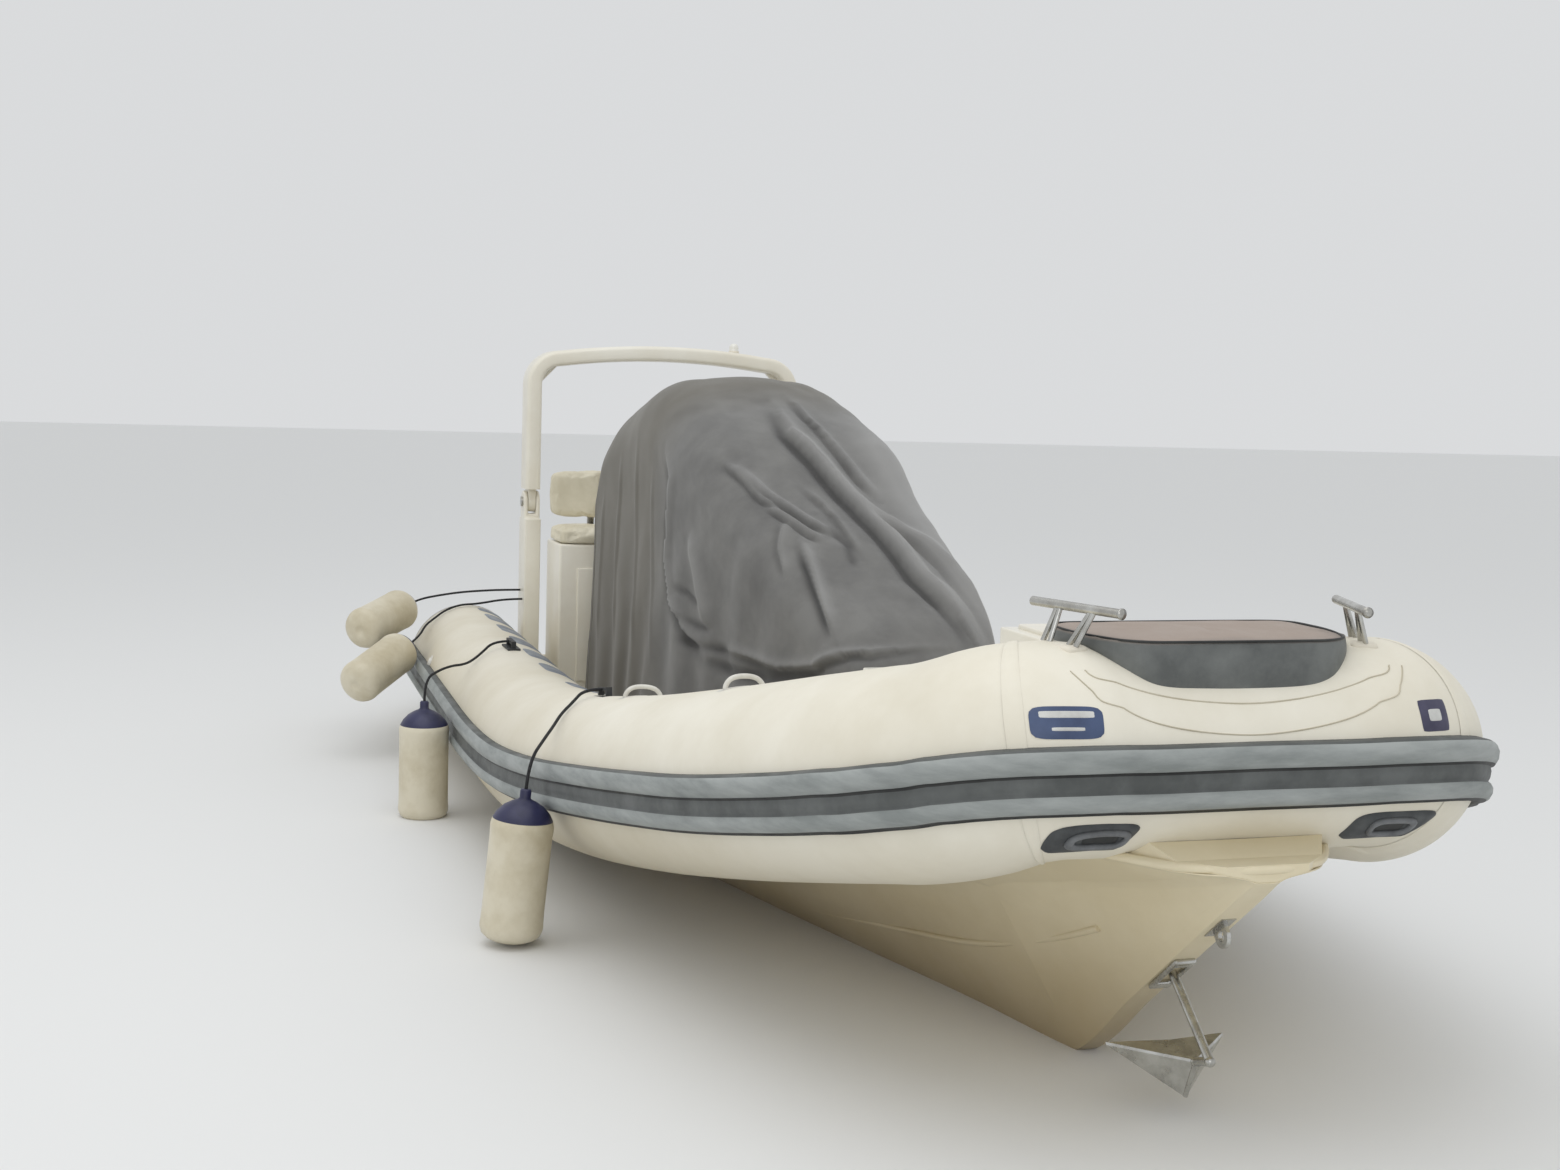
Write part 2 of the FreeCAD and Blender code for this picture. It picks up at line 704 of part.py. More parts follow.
outer, outer_port, outer_star = hoop_outline(0)
inner, inner_port, inner_star = hoop_outline(thick)
edges = outer + [Part.makeLine(outer_star, inner_star)] + inner
edges += [Part.makeLine(inner_port, outer_port)]
hoop_face = Part.Face(Part.Wire(Part.sortEdges(edges)[0]))
hoop = hoop_face.extrude(Vector(depth, 0, 0))
hoop.translate(Vector(num("arch_x") - depth / 2, 0, 0))
for side in (-1, 1):
    y0 = side * leg_mid - lug / 2
    tongue = disc(num("arch_x"), y0, y0 + lug, pivot_z, boss - 4)
    neck = Part.makeBox(
        2 * boss - 8, lug, boss + 14, Vector(num("arch_x") - boss + 4, y0, pivot_z)
    )
    hoop = hoop.fuse([tongue, neck])
for side in (-1, 1):
    hoop = hoop.cut(
        disc(
            num("arch_x"),
            side * leg_mid - thick,
            side * leg_mid + thick,
            pivot_z,
            num("pivot_radius") + num("pivot_clearance"),
        )
    )
piece(shaped("Hoop", hoop.removeSplitter()), "arch_hoop")
dome_y = num("lamp_offset")
dome_z = num("arch_top") + num("arch_crown") * (1 - (dome_y / (half_out - num("arch_corner"))) ** 2)
dome = Part.makeCylinder(num("lamp_radius"), 45, Vector(num("arch_x"), dome_y, dome_z - 20))
dome = dome.fuse(Part.makeSphere(num("lamp_radius"), Vector(num("arch_x"), dome_y, dome_z + 25)))
piece(shaped("Dome", dome.cut(hoop)), "arch_light")

# ## Outboard engine
# The clamp bracket grips the transom and carries the tilt tube; the swivel bracket
# turns on it; the leg, its cowl and the propeller steer on the swivel's barrel.
tilt_x = num("transom_face") - num("tilt_back")
tilt_z = num("transom_top") + num("tilt_up")
steer_x = tilt_x - num("steer_back")
plate = num("plate")
face_x = num("transom_face")
half_clamp = num("clamp_half_width")
clamp = Part.makeBox(
    plate, 2 * half_clamp, num("transom_top") + plate + 60, Vector(face_x - plate, -half_clamp, -60)
)
hook = Part.makeBox(
    num("transom_wall") + 2 * plate,
    2 * half_clamp,
    plate,
    Vector(face_x - plate, -half_clamp, num("transom_top")),
)
lip = Part.makeBox(
    plate,
    2 * half_clamp,
    110 + plate,
    Vector(face_x + num("transom_wall"), -half_clamp, num("transom_top") - 110),
)
clamp = clamp.fuse([hook, lip])
for y0 in (-half_clamp, half_clamp - num("ear")):
    ear_profile = Part.Face(
        Part.makePolygon(
            [
                Vector(face_x - plate, y0, -60),
                Vector(face_x - plate - 30, y0, -60),
                Vector(tilt_x - 34, y0, tilt_z - 60),
                Vector(tilt_x - 34, y0, tilt_z),
                Vector(tilt_x + 34, y0, tilt_z),
                Vector(face_x - plate + 8, y0, num("transom_top") + plate),
                Vector(face_x - plate, y0, num("transom_top")),
                Vector(face_x - plate, y0, -60),
            ]
        )
    )
    clamp = clamp.fuse(ear_profile.extrude(Vector(0, num("ear"), 0)))
    clamp = clamp.fuse(disc(tilt_x, y0, y0 + num("ear"), tilt_z, 34))
clamp = clamp.fuse(disc(tilt_x, -half_clamp - 14, half_clamp + 14, tilt_z, num("tilt_pin")))
piece(shaped("Clamp", clamp.removeSplitter()), "clamp_bracket")

barrel_top = tilt_z + 25
barrel_low = barrel_top - num("barrel_length")
hub_half = half_clamp - num("ear") - num("seat_gap")
swivel = disc(tilt_x, -hub_half, hub_half, tilt_z, 32)
arm = Part.makeBox(num("steer_back"), 90, 46, Vector(steer_x, -45, tilt_z - 23))
web = Part.Face(
    Part.makePolygon(
        [
            Vector(steer_x, -12, tilt_z),
            Vector(steer_x, -12, barrel_low + 60),
            Vector(steer_x + 50, -12, barrel_low + 80),
            Vector(tilt_x, -12, tilt_z - 10),
            Vector(steer_x, -12, tilt_z),
        ]
    )
).extrude(Vector(0, 24, 0))
barrel = Part.makeCylinder(
    num("barrel_radius"), num("barrel_length"), Vector(steer_x, 0, barrel_low)
)
swivel = swivel.fuse([arm, web, barrel])
swivel = swivel.cut(
    disc(tilt_x, -hub_half - 1, hub_half + 1, tilt_z, num("tilt_pin") + num("pivot_clearance"))
)
swivel = swivel.cut(
    Part.makeCylinder(
        num("steer_pin") + num("pivot_clearance"),
        num("barrel_length") + 2,
        Vector(steer_x, 0, barrel_low - 1),
    )
)
piece(shaped("Swivel", swivel.removeSplitter()), "swivel_bracket")

prop_z = -num("shaft_drop")
leg_top = barrel_top + num("yoke_gap") + 100
leg_front = steer_x - num("barrel_radius") - 20


def lens(x0, x1, width, z):
    """A streamlined section of the leg, blunt in front and thin behind."""
    half = width / 2
    ring = [
        Vector(x0, 0.35 * half, z),
        Vector(x0 - 0.15 * (x0 - x1), half, z),
        Vector(x0 - 0.55 * (x0 - x1), 0.92 * half, z),
        Vector(x1, 0.25 * half, z),
    ]
    ring += [Vector(p.x, -p.y, p.z) for p in reversed(ring)]
    return Part.makePolygon(ring + ring[:1])


wide = num("leg_width")
chord = num("leg_chord")
leg = Part.makeLoft(
    [
        lens(leg_front, leg_front - chord, wide * 1.6, leg_top),
        lens(leg_front, leg_front - chord * 0.88, wide * 1.3, barrel_low + 60),
        lens(leg_front - 5, leg_front - chord * 0.7, wide * 0.8, barrel_low - 150),
        lens(leg_front - 10, leg_front - chord * 0.65, wide * 0.42, prop_z + num("gearcase_radius") * 0.8),
    ],
    True,
    True,
)
steer_shaft_low = barrel_low - num("yoke_gap") - 34
shaft = Part.makeCylinder(num("steer_pin"), barrel_top + 60 - steer_shaft_low, Vector(steer_x, 0, steer_shaft_low))
upper_yoke = Part.makeBox(
    steer_x + 44 - (leg_front - 60), 80, 34, Vector(leg_front - 60, -40, barrel_top + num("yoke_gap"))
)
lower_yoke = Part.makeBox(steer_x + 34 - (leg_front - 60), 60, 34, Vector(leg_front - 60, -30, steer_shaft_low))
gear_front = leg_front + 30
gear_back = gear_front - num("gearcase_length")
skeg = num("skeg_depth")
torpedo = Part.makeCylinder(
    num("gearcase_radius"), gear_front - 70 - gear_back, Vector(gear_back, 0, prop_z), X_AXIS
)
nose = Part.makeCone(
    num("gearcase_radius"), num("gearcase_radius") * 0.35, 90, Vector(gear_front - 70, 0, prop_z), X_AXIS
)
prop_shaft = Part.makeCylinder(
    num("prop_shaft"), num("hub_length") + 14, Vector(gear_back - num("hub_length") - 14, 0, prop_z), X_AXIS
)
plate_z = prop_z + num("propeller_radius") + 14
plate_face = Part.Face(
    Part.makePolygon(
        [
            Vector(leg_front - 20, -20, plate_z),
            Vector(leg_front - 150, -105, plate_z),
            Vector(gear_back - 100, -100, plate_z),
            Vector(gear_back - 125, -60, plate_z),
            Vector(gear_back - 125, 60, plate_z),
            Vector(gear_back - 100, 100, plate_z),
            Vector(leg_front - 150, 105, plate_z),
            Vector(leg_front - 20, 20, plate_z),
            Vector(leg_front - 20, -20, plate_z),
        ]
    )
)
fin = Part.Face(
    Part.makePolygon(
        [
            Vector(leg_front - 60, -5, prop_z),
            Vector(gear_back + 10, -5, prop_z),
            Vector(gear_back - 5, -5, prop_z - skeg + 10),
            Vector(gear_back + 90, -5, prop_z - skeg),
            Vector(leg_front - 60, -5, prop_z),
        ]
    )
).extrude(Vector(0, 10, 0))
leg = leg.fuse(
    [shaft, upper_yoke, lower_yoke, torpedo, nose, prop_shaft, plate_face.extrude(Vector(0, 0, 10)), fin]
)
piece(shaped("EngineLeg", leg), "engine_leg")


def cowl_section(x0, x1, width, z):
    corner = width * 0.30
    half = width / 2
    ring = [
        Vector(x0 - corner * 0.5, half - corner, z),
        Vector(x0 - corner * 1.4, half, z),
        Vector(x1 + corner, half, z),
        Vector(x1, half - corner, z),
    ]
    front = Vector(x0, 0.25 * half, z)
    ring = [front] + ring
    ring += [Vector(p.x, -p.y, p.z) for p in reversed(ring)]
    return Part.makePolygon(ring + ring[:1])


cowl_low = leg_top
cowl_front = steer_x + num("cowl_length") * 0.35
COWL = [
    # share of the height, front and back insets as shares of the length, share of the width
    (0.00, 0.045, 0.091, 0.74),
    (0.16, 0.000, 0.023, 0.96),
    (0.45, 0.000, 0.000, 1.00),
    (0.78, 0.038, 0.023, 0.94),
    (0.93, 0.114, 0.091, 0.80),
    (1.00, 0.242, 0.227, 0.52),
]
cowl = Part.makeLoft(
    [
        cowl_section(
            cowl_front - front * num("cowl_length"),
            cowl_front - num("cowl_length") * (1 - back),
            wide_share * num("cowl_width"),
            cowl_low + share * num("cowl_height"),
        )
        for share, front, back, wide_share in COWL
    ],
    True,
    True,
)
piece(shaped("EngineCowl", cowl), "engine_cowl")

# ## Propeller
# Three twisted blades of constant pitch on a hub.
hub_x = gear_back - num("seat_gap") - num("hub_length")
hub = Part.makeCylinder(num("hub_radius"), num("hub_length"), Vector(hub_x, 0, prop_z), X_AXIS)


def blade_section(radius, chord, thickness):
    """A flat lens on the tangent plane, turned to the pitch angle at its radius."""
    angle = math.atan2(num("pitch_length"), 2 * math.pi * radius)
    half = chord / 2
    ring = [
        Vector(-half, 0, 0),
        Vector(-half * 0.3, thickness / 2, 0),
        Vector(half * 0.4, thickness / 2, 0),
        Vector(half, 0, 0),
        Vector(half * 0.4, -thickness / 2, 0),
        Vector(-half * 0.3, -thickness / 2, 0),
    ]
    turned = []
    for p in ring:
        tangent = p.x * math.cos(angle) - p.y * math.sin(angle)
        along = p.x * math.sin(angle) + p.y * math.cos(angle)
        turned.append(Vector(along, tangent, radius))
    return Part.makePolygon(turned + turned[:1])


tip = num("propeller_radius")
blade = Part.makeLoft(
    [
        blade_section(num("hub_radius") * 0.8, 95, 16),
        blade_section(tip * 0.5, 140, 11),
        blade_section(tip * 0.78, 145, 8),
        blade_section(tip * 0.98, 80, 4),
    ],
    True,
    True,
)
propeller = hub
for k in range(3):
    turn = blade.copy()
    turn.rotate(Vector(0, 0, 0), X_AXIS, 120 * k)
    turn.translate(Vector(hub_x + num("hub_length") / 2, 0, prop_z))
    propeller = propeller.fuse(turn)
propeller = propeller.cut(
    Part.makeCylinder(
        num("prop_shaft") + num("pivot_clearance"),
        num("hub_length") + 60,
        Vector(hub_x - 30, 0, prop_z),
        X_AXIS,
    )
)
piece(shaped("Propeller", propeller), "propeller")

# ## Mooring bars on the bow
# A bar on two splayed legs over a saddle that seats on the chambers.
bar_half = num("bitt_bar") / 2
foot_out = num("bitt_foot_out")
bar_place = Vector(num("bitt_x"), -num("bitt_offset"), num("bitt_level"))
bar_turn = num("bitt_turn")
saddle_z = bar_place.z - num("bitt_height")


def rod(a, b, radius):
    return Part.makeCylinder(radius, (b - a).Length, a, b - a)


def bitt():
    bar = rod(Vector(-bar_half, 0, 0), Vector(bar_half, 0, 0), num("bitt_rod"))
    legs = [
        rod(Vector(s * 62, 0, 0), Vector(s * 34, -foot_out, -num("bitt_height") - 4), num("bitt_rod") - 2)
        for s in (-1, 1)
    ]
    saddle = Part.makeBox(150, 76, 74, Vector(-75, -38 - foot_out, -num("bitt_height") - 70))
    body = bar.fuse(legs + [saddle])
    body.rotate(Vector(0, 0, 0), Z_AXIS, bar_turn)
    body.translate(bar_place)
    return body


bitt_solid = seated(bitt())
bitt_solid = bitt_solid.cut(pad).cut(locker)
solids = sorted(bitt_solid.Solids, key=lambda s: s.Volume)
piece(shaped("BittStarboard", solids[-1]), "bitt_starboard")
piece(mirrored("BittPort", PIECES[-1]), "bitt_port")

# ## Lifting handles under the strake
corner_at = bend("corner")
brow_at = bend("brow")
handle_at = corner_at + (brow_at - corner_at) * ((corner_at.y + num("handle_offset")) / (corner_at.y - brow_at.y))
out_dir = (brow_at - corner_at).cross(Z_AXIS).normalize()
angle_down = math.radians(num("handle_angle"))
normal = out_dir * math.cos(angle_down) - Z_AXIS * math.sin(angle_down)
handle_radius = axis_radius(handle_at.y)
spot = handle_at + normal * handle_radius
along_dir = out_dir.cross(Z_AXIS).normalize()
side_dir = normal.cross(along_dir).normalize()
handle_turn = Rotation(along_dir, side_dir, normal, "ZXY")


def handle():
    long = num("handle_length")
    width = num("handle_width")
    ring = [
        Vector(-long / 2 + 22, -width / 2, 0),
        Vector(long / 2 - 22, -width / 2, 0),
        Vector(long / 2, 0, 0),
        Vector(long / 2 - 22, width / 2, 0),
        Vector(-long / 2 + 22, width / 2, 0),
        Vector(-long / 2, 0, 0),
    ]
    body = Part.Face(Part.makePolygon(ring + ring[:1])).extrude(Vector(0, 0, 60))
    body.translate(Vector(0, 0, -45))
    slot = Part.makeBox(long * 0.5, width * 0.42, 30, Vector(-long * 0.25, -width * 0.21, 2))
    body = body.cut(slot)
    body.Placement = Placement(spot, handle_turn)
    return body


handle_solid = seated(handle())
handle_parts = sorted(handle_solid.Solids, key=lambda s: s.Volume)
piece(shaped("HandleStarboard", handle_parts[-1]), "handle_starboard")
piece(mirrored("HandlePort", PIECES[-1]), "handle_port")

# ## Tow eye and anchor on the stem
stem_slope = math.atan2(
    offset(OFFSETS[8], "keel") - offset(OFFSETS[6], "keel"),
    offset(OFFSETS[8], "x") - offset(OFFSETS[6], "x"),
)


def stem_x(z):
    low = OFFSETS[6]
    return offset(low, "x") + (z - offset(low, "keel")) / math.tan(stem_slope)


stem_normal = Vector(math.sin(stem_slope), 0, -math.cos(stem_slope))
stem_along = Vector(math.cos(stem_slope), 0, math.sin(stem_slope))
eye_at = Vector(stem_x(num("eye_height")), 0, num("eye_height"))
eye_turn = Rotation(stem_along, Y_AXIS, stem_normal, "ZXY")
eye_half = num("eye_plate") / 2
eye_centre = eye_at + stem_normal * num("eye_stand")
eye_lug = disc(eye_centre.x, -eye_half, eye_half, eye_centre.z, num("eye_radius"))
eye_root = Part.makeBox(
    2 * num("eye_radius"),
    2 * eye_half,
    num("eye_stand"),
    Vector(-num("eye_radius"), -eye_half, 0),
)
eye_root.Placement = Placement(eye_at, eye_turn)
eye_plate = Part.makeBox(110, 44, 6, Vector(-55, -22, 0))
eye_plate.Placement = Placement(eye_at, eye_turn)
eye_hole = disc(eye_centre.x, -eye_half - 30, eye_half + 30, eye_centre.z, num("eye_bore"))
eye = eye_lug.fuse([eye_root, eye_plate]).cut(eye_hole).cut(hull)
eye_parts = sorted(eye.Solids, key=lambda s: s.Volume)
piece(shaped("TowEye", eye_parts[-1]), "tow_eye")

roller_at = Vector(stem_x(num("socket_height")), 0, num("socket_height"))
socket = Part.makeBox(num("socket_length"), 66, 30, Vector(-num("socket_length") / 2, -33, -12))
socket.Placement = Placement(roller_at, Rotation(stem_along, Y_AXIS, stem_normal, "ZXY"))
throat = Part.makeBox(num("socket_length") - 70, 40, 80, Vector(35 - num("socket_length") / 2, -20, -6))
throat.Placement = socket.Placement
socket = socket.cut(throat).cut(hull)
socket_parts = sorted(socket.Solids, key=lambda s: s.Volume)
piece(shaped("AnchorSocket", socket_parts[-1]), "anchor_socket")

# the anchor: a straight shank out of the socket and a ploughshare of two folded plates
shank_top = roller_at - stem_normal * 10
shank_end = roller_at + Vector(num("anchor_reach") - 166, 0, -num("anchor_drop"))
share_tip = shank_end + Vector(-122, 0, -137)
share_heel = shank_end + Vector(-77, 0, -22)
share_back = shank_end + Vector(-217, 0, -12)
share_wing = shank_end + Vector(-252, 0, -17)
half_span = num("anchor_span") / 2
FOLD = Vector(5, 0, -7)


def share_plate(side):
    """One half of the ploughshare: two flat leaves folded at the line from heel to wing."""
    wing = share_wing + Y_AXIS * (side * half_span)
    leaves = []
    for corners in ([share_tip, share_heel, wing], [share_heel, share_back, wing]):
        leaves.append(Part.Face(Part.makePolygon(corners + corners[:1])).extrude(FOLD))
    return leaves


anchor_rod = num("anchor_rod")
shank = rod(shank_top, shank_end, anchor_rod).cut(socket_parts[-1]).cut(hull)
shank = max(shank.Solids, key=lambda s: s.Volume)
head = rod(shank_end, share_heel + FOLD * 0.5, anchor_rod)
share = share_plate(-1) + share_plate(1)
share = share[0].fuse(share[1:]).removeSplitter()
ridge = rod(share_tip + FOLD * 0.5, share_heel + FOLD * 0.5, 7)
anchor = shank.fuse(Part.makeSphere(anchor_rod + 2, shank_end)).fuse(head)
anchor = anchor.fuse(Part.makeSphere(anchor_rod + 1, share_heel + FOLD * 0.5)).fuse(ridge).fuse(share)
piece(shaped("Anchor", max(anchor.Solids, key=lambda s: s.Volume)), "anchor")

# ## Grips on the starboard chamber
# A rubber patch on the crest, with a bar on two posts that a line is tied to.


def on_axis(x):
    """The starboard chamber's axis at a place along the boat."""
    for (pa, sa, oa, ua), (pb, sb, ob, ub) in zip(STATIONS, STATIONS[1:]):
        if pa.x <= x <= pb.x and pa.y < 0:
            return pa + (pb - pa) * ((x - pa.x) / (pb.x - pa.x))
    raise ValueError("no chamber at %.0f" % x)


def crest(x):
    axis = on_axis(x)
    return axis + Vector(0, 0, axis_radius(axis.y))


GRIPS = [("grip_1", 980), ("grip_2", -1085)]
grip_sides = {}
for name, x in GRIPS:
    long = num("grip_length")
    wide_bar = num("grip_bar")
    ahead = crest(x + long / 2) - crest(x - long / 2)
    slope = math.degrees(math.atan2(ahead.z, ahead.x))
    patch = Part.makeBox(long, num("grip_width"), 40, Vector(-long / 2, -num("grip_width") / 2, -32))
    posts = [
        Part.makeBox(20, wide_bar, 34, Vector(u - 10, -wide_bar / 2, 0)) for u in (-long * 0.36, long * 0.36)
    ]
    bar = Part.makeBox(
        long * 0.72 + 20,
        wide_bar,
        num("grip_depth"),
        Vector(-long * 0.36 - 10, -wide_bar / 2, num("grip_lift")),
    )
    grip = patch.fuse(posts + [bar]).removeSplitter()
    grip.rotate(Vector(0, 0, 0), Y_AXIS, -slope)
    grip.translate(crest(x))
    grip = max(seated(grip).Solids, key=lambda s: s.Volume)
    piece(shaped(name, grip), name)
    grip_sides[name] = crest(x) + Vector(0, -wide_bar / 2, num("grip_lift") + num("grip_depth") / 2)

# ## Fenders
# Cylinders with domed ends and a rope eye, each where it hangs.
FENDERS = [
    # name, top centre, direction down its body
    ("fender_1", (1433, -1502, 520), (0, -0.09, -0.996)),
    ("fender_2", (-627, -1606, 490), (0, 0, -1)),
    ("fender_3", (-2288, -1506, 543), (0.763, -0.589, -0.279)),
    ("fender_4", (-2790, -1447, 706), (0.80, -0.575, -0.167)),
]
fender_tops = {}
for name, top, down in FENDERS:
    radius = num("fender_radius")
    body = num("fender_body")
    stub = num("eye_stub")
    outline = [
        Part.makeLine(Vector(0, 0, stub), Vector(16, 0, stub)),
        Part.makeLine(Vector(16, 0, stub), Vector(20, 0, 0)),
        Part.Arc(Vector(20, 0, 0), Vector(radius * 0.80, 0, -38), Vector(radius, 0, -85)).toShape(),
        Part.makeLine(Vector(radius, 0, -85), Vector(radius, 0, -85 - body)),
        Part.Arc(
            Vector(radius, 0, -85 - body),
            Vector(radius * 0.78, 0, -85 - body - 42),
            Vector(20, 0, -85 - body - 60),
        ).toShape(),
        Part.makeLine(Vector(20, 0, -85 - body - 60), Vector(0, 0, -85 - body - 60)),
        Part.makeLine(Vector(0, 0, -85 - body - 60), Vector(0, 0, stub)),
    ]
    solid = Part.Face(Part.Wire(outline)).revolve(Vector(0, 0, 0), Z_AXIS, 360)
    direction = Vector(*down).normalize()
    turn = Rotation(Vector(0, 0, -1), direction)
    piece(shaped(name, solid, Placement(Vector(*top), turn)), name)
    fender_tops[name] = [
        Vector(*top) - direction * num("line_rise"),
        Vector(*top) - direction * stub,
    ]

# ## Fender lines
# Each is a plain tube of straight runs joined by arcs, from its fender over the chamber.


def cord_path(points):
    """Straight runs joined by tangent arcs, as large as the runs allow."""
    edges = []
    radii = []
    start = points[0]
    for before, here, after in zip(points, points[1:], points[2:]):
        a = (before - here).normalize()
        b = (after - here).normalize()
        turn = math.pi - a.getAngle(b)
        trim = 0.45 * min((before - here).Length, (after - here).Length)
        radius = trim / math.tan(turn / 2)
        radii.append(radius)
        first = here + a * trim
        last = here + b * trim
        centre_dir = (a + b).normalize()
        centre = here + centre_dir * (radius / math.cos(turn / 2))
        middle = centre - centre_dir * radius
        edges.append(Part.LineSegment(start, first).toShape())
        edges.append(Part.Arc(first, middle, last).toShape())
        start = last
    edges.append(Part.LineSegment(start, points[-1]).toShape())
    return Part.Wire(edges), radii


def cord(name, points, radius):
    path, radii = cord_path(points)
    begin = (points[1] - points[0]).normalize()
    ring = Part.Wire([Part.makeCircle(radius, points[0], begin)])
    pipe = path.makePipeShell([ring], True, False)
    share = pipe.Volume / (math.pi * radius * radius * path.Length)
    least = min(radii) / (2 * radius)
    print("%s length %.0f mm, least radius %.1f diameters, volume share %.4f" % (name, path.Length, least, share))
    return piece(shaped(name, pipe), name)


def over_tube(x, angle, extra):
    """A point on or beside the starboard chamber: angle from outboard, over the top."""
    axis = on_axis(x)
    radius = axis_radius(axis.y) + extra
    a = math.radians(angle)
    return axis + Vector(0, -radius * math.cos(a), radius * math.sin(a))


foot_side = -half_out
LINES = [
    # name, fender, where it starts, its next point, then (x, angle over the chamber, height off it)
    (
        "line_1",
        "fender_1",
        grip_sides["grip_1"],
        70,
        [(1040, 64, 18), (1120, 50, 19), (1215, 38, 28), (1320, 28, 56)],
    ),
    (
        "line_2",
        "fender_2",
        grip_sides["grip_2"],
        75,
        [(-1040, 62, 18), (-980, 50, 26), (-910, 44, 58), (-835, 40, 100), (-745, 34, 152)],
    ),
    (
        "line_3",
        "fender_3",
        Vector(-2760, foot_side, 745),
        100,
        [
            (-2755, 100, 20),
            (-2735, 82, 17),
            (-2690, 65, 17),
            (-2610, 51, 22),
            (-2510, 42, 45),
        ],
    ),
    (
        "line_4",
        "fender_4",
        Vector(-2830, foot_side, 790),
        110,
        [(-2834, 102, 90), (-2840, 86, 74), (-2846, 68, 84)],
    ),
]
for name, fender, start, first, route in LINES:
    points = [start, start - Y_AXIS * first]
    points += [over_tube(*spot_row) for spot_row in route] + fender_tops[fender]
    cord(name, points, num("line_radius"))

doc.recompute()
wrong = [o.Name for o in doc.Objects if "Invalid" in o.State or "Error" in o.State]
if wrong:
    raise RuntimeError("failed objects: " + ", ".join(wrong))
for item in PIECES:
    shape = item.Shape
    if shape.isNull() or not shape.isValid():
        raise RuntimeError("bad shape: " + item.Label)
for item in PIECES:
    box = item.Shape.BoundBox
    print("%-24s solids %d volume %.4f m3" % (item.Label, len(item.Shape.Solids), item.Shape.Volume / 1e9))
    item.Shape.exportStep("parts/%s.step" % item.Label)
print(len(PIECES), "pieces")
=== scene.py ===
# %% [markdown]
# # Inflatable boat with a rigid hull
# The boat's solids come in as a fixed frame: +X is the bow, +Y port, +Z up, and the origin is on
# the centreline at the waterline, all in metres. This lesson dresses them: air chambers, rubbing
# strake, hull skin, canvas cover, cushions, fittings, fenders and their lines.

import bmesh
import bpy
import json
import math
from mathutils import Matrix, Vector, noise


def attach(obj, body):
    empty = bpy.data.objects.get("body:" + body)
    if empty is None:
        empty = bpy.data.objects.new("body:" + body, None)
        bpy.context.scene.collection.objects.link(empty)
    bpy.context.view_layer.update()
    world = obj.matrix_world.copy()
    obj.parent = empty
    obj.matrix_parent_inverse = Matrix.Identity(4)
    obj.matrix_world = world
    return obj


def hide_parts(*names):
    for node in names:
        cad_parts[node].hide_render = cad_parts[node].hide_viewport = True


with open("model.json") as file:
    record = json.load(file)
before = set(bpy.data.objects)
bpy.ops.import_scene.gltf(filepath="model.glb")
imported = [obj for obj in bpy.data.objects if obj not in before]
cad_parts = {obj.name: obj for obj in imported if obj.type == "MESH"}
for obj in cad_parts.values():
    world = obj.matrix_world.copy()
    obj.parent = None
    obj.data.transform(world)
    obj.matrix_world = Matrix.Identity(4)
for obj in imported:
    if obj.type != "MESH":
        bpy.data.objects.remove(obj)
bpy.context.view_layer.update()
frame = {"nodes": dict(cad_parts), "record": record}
nodes = frame["nodes"]
scene = bpy.context.scene

# %% [markdown]
# ## The camera
# The picture was taken by a person standing off the starboard bow, a little above the pad. The
# camera could be aimed with a Track To constraint. Here its three axes are written out instead,
# because they were solved from the boat's own corners, roll and all.

# %% Camera
camera = bpy.data.objects.new("Camera", bpy.data.cameras.new("Camera"))
scene.collection.objects.link(camera)
right = Vector((0.29749952, 0.95421642, 0.03106542))
upward = Vector((-0.10862851, 0.00150425, 0.99408128))
backward = Vector((0.94852195, -0.29911329, 0.10410262))
turn = Matrix((right, upward, backward)).transposed().to_4x4()
camera.matrix_world = Matrix.Translation((8.03782, -2.66518, 2.00767)) @ turn
SENSOR, PICTURE_WIDTH, FOCAL_PIXELS = 36.0, 1560.0, 1915.543
camera.data.sensor_width = SENSOR
camera.data.lens = FOCAL_PIXELS * SENSOR / PICTURE_WIDTH
camera.data.clip_end = 200
scene.camera = camera
print("lens", round(camera.data.lens, 2), "mm")

# %% [markdown]
# ## Fender lines
# Each fender hangs on a braided rope of 12 mm from a rubber grip or the arch's foot. A rope
# could be a mesh tube, but a NURBS spline with a round bevel stays smooth and keeps its length.
# The control points are the same ones that the solid rope follows. Each point carries the
# rope's radius, so that the curve's own box is no bigger than the rope.

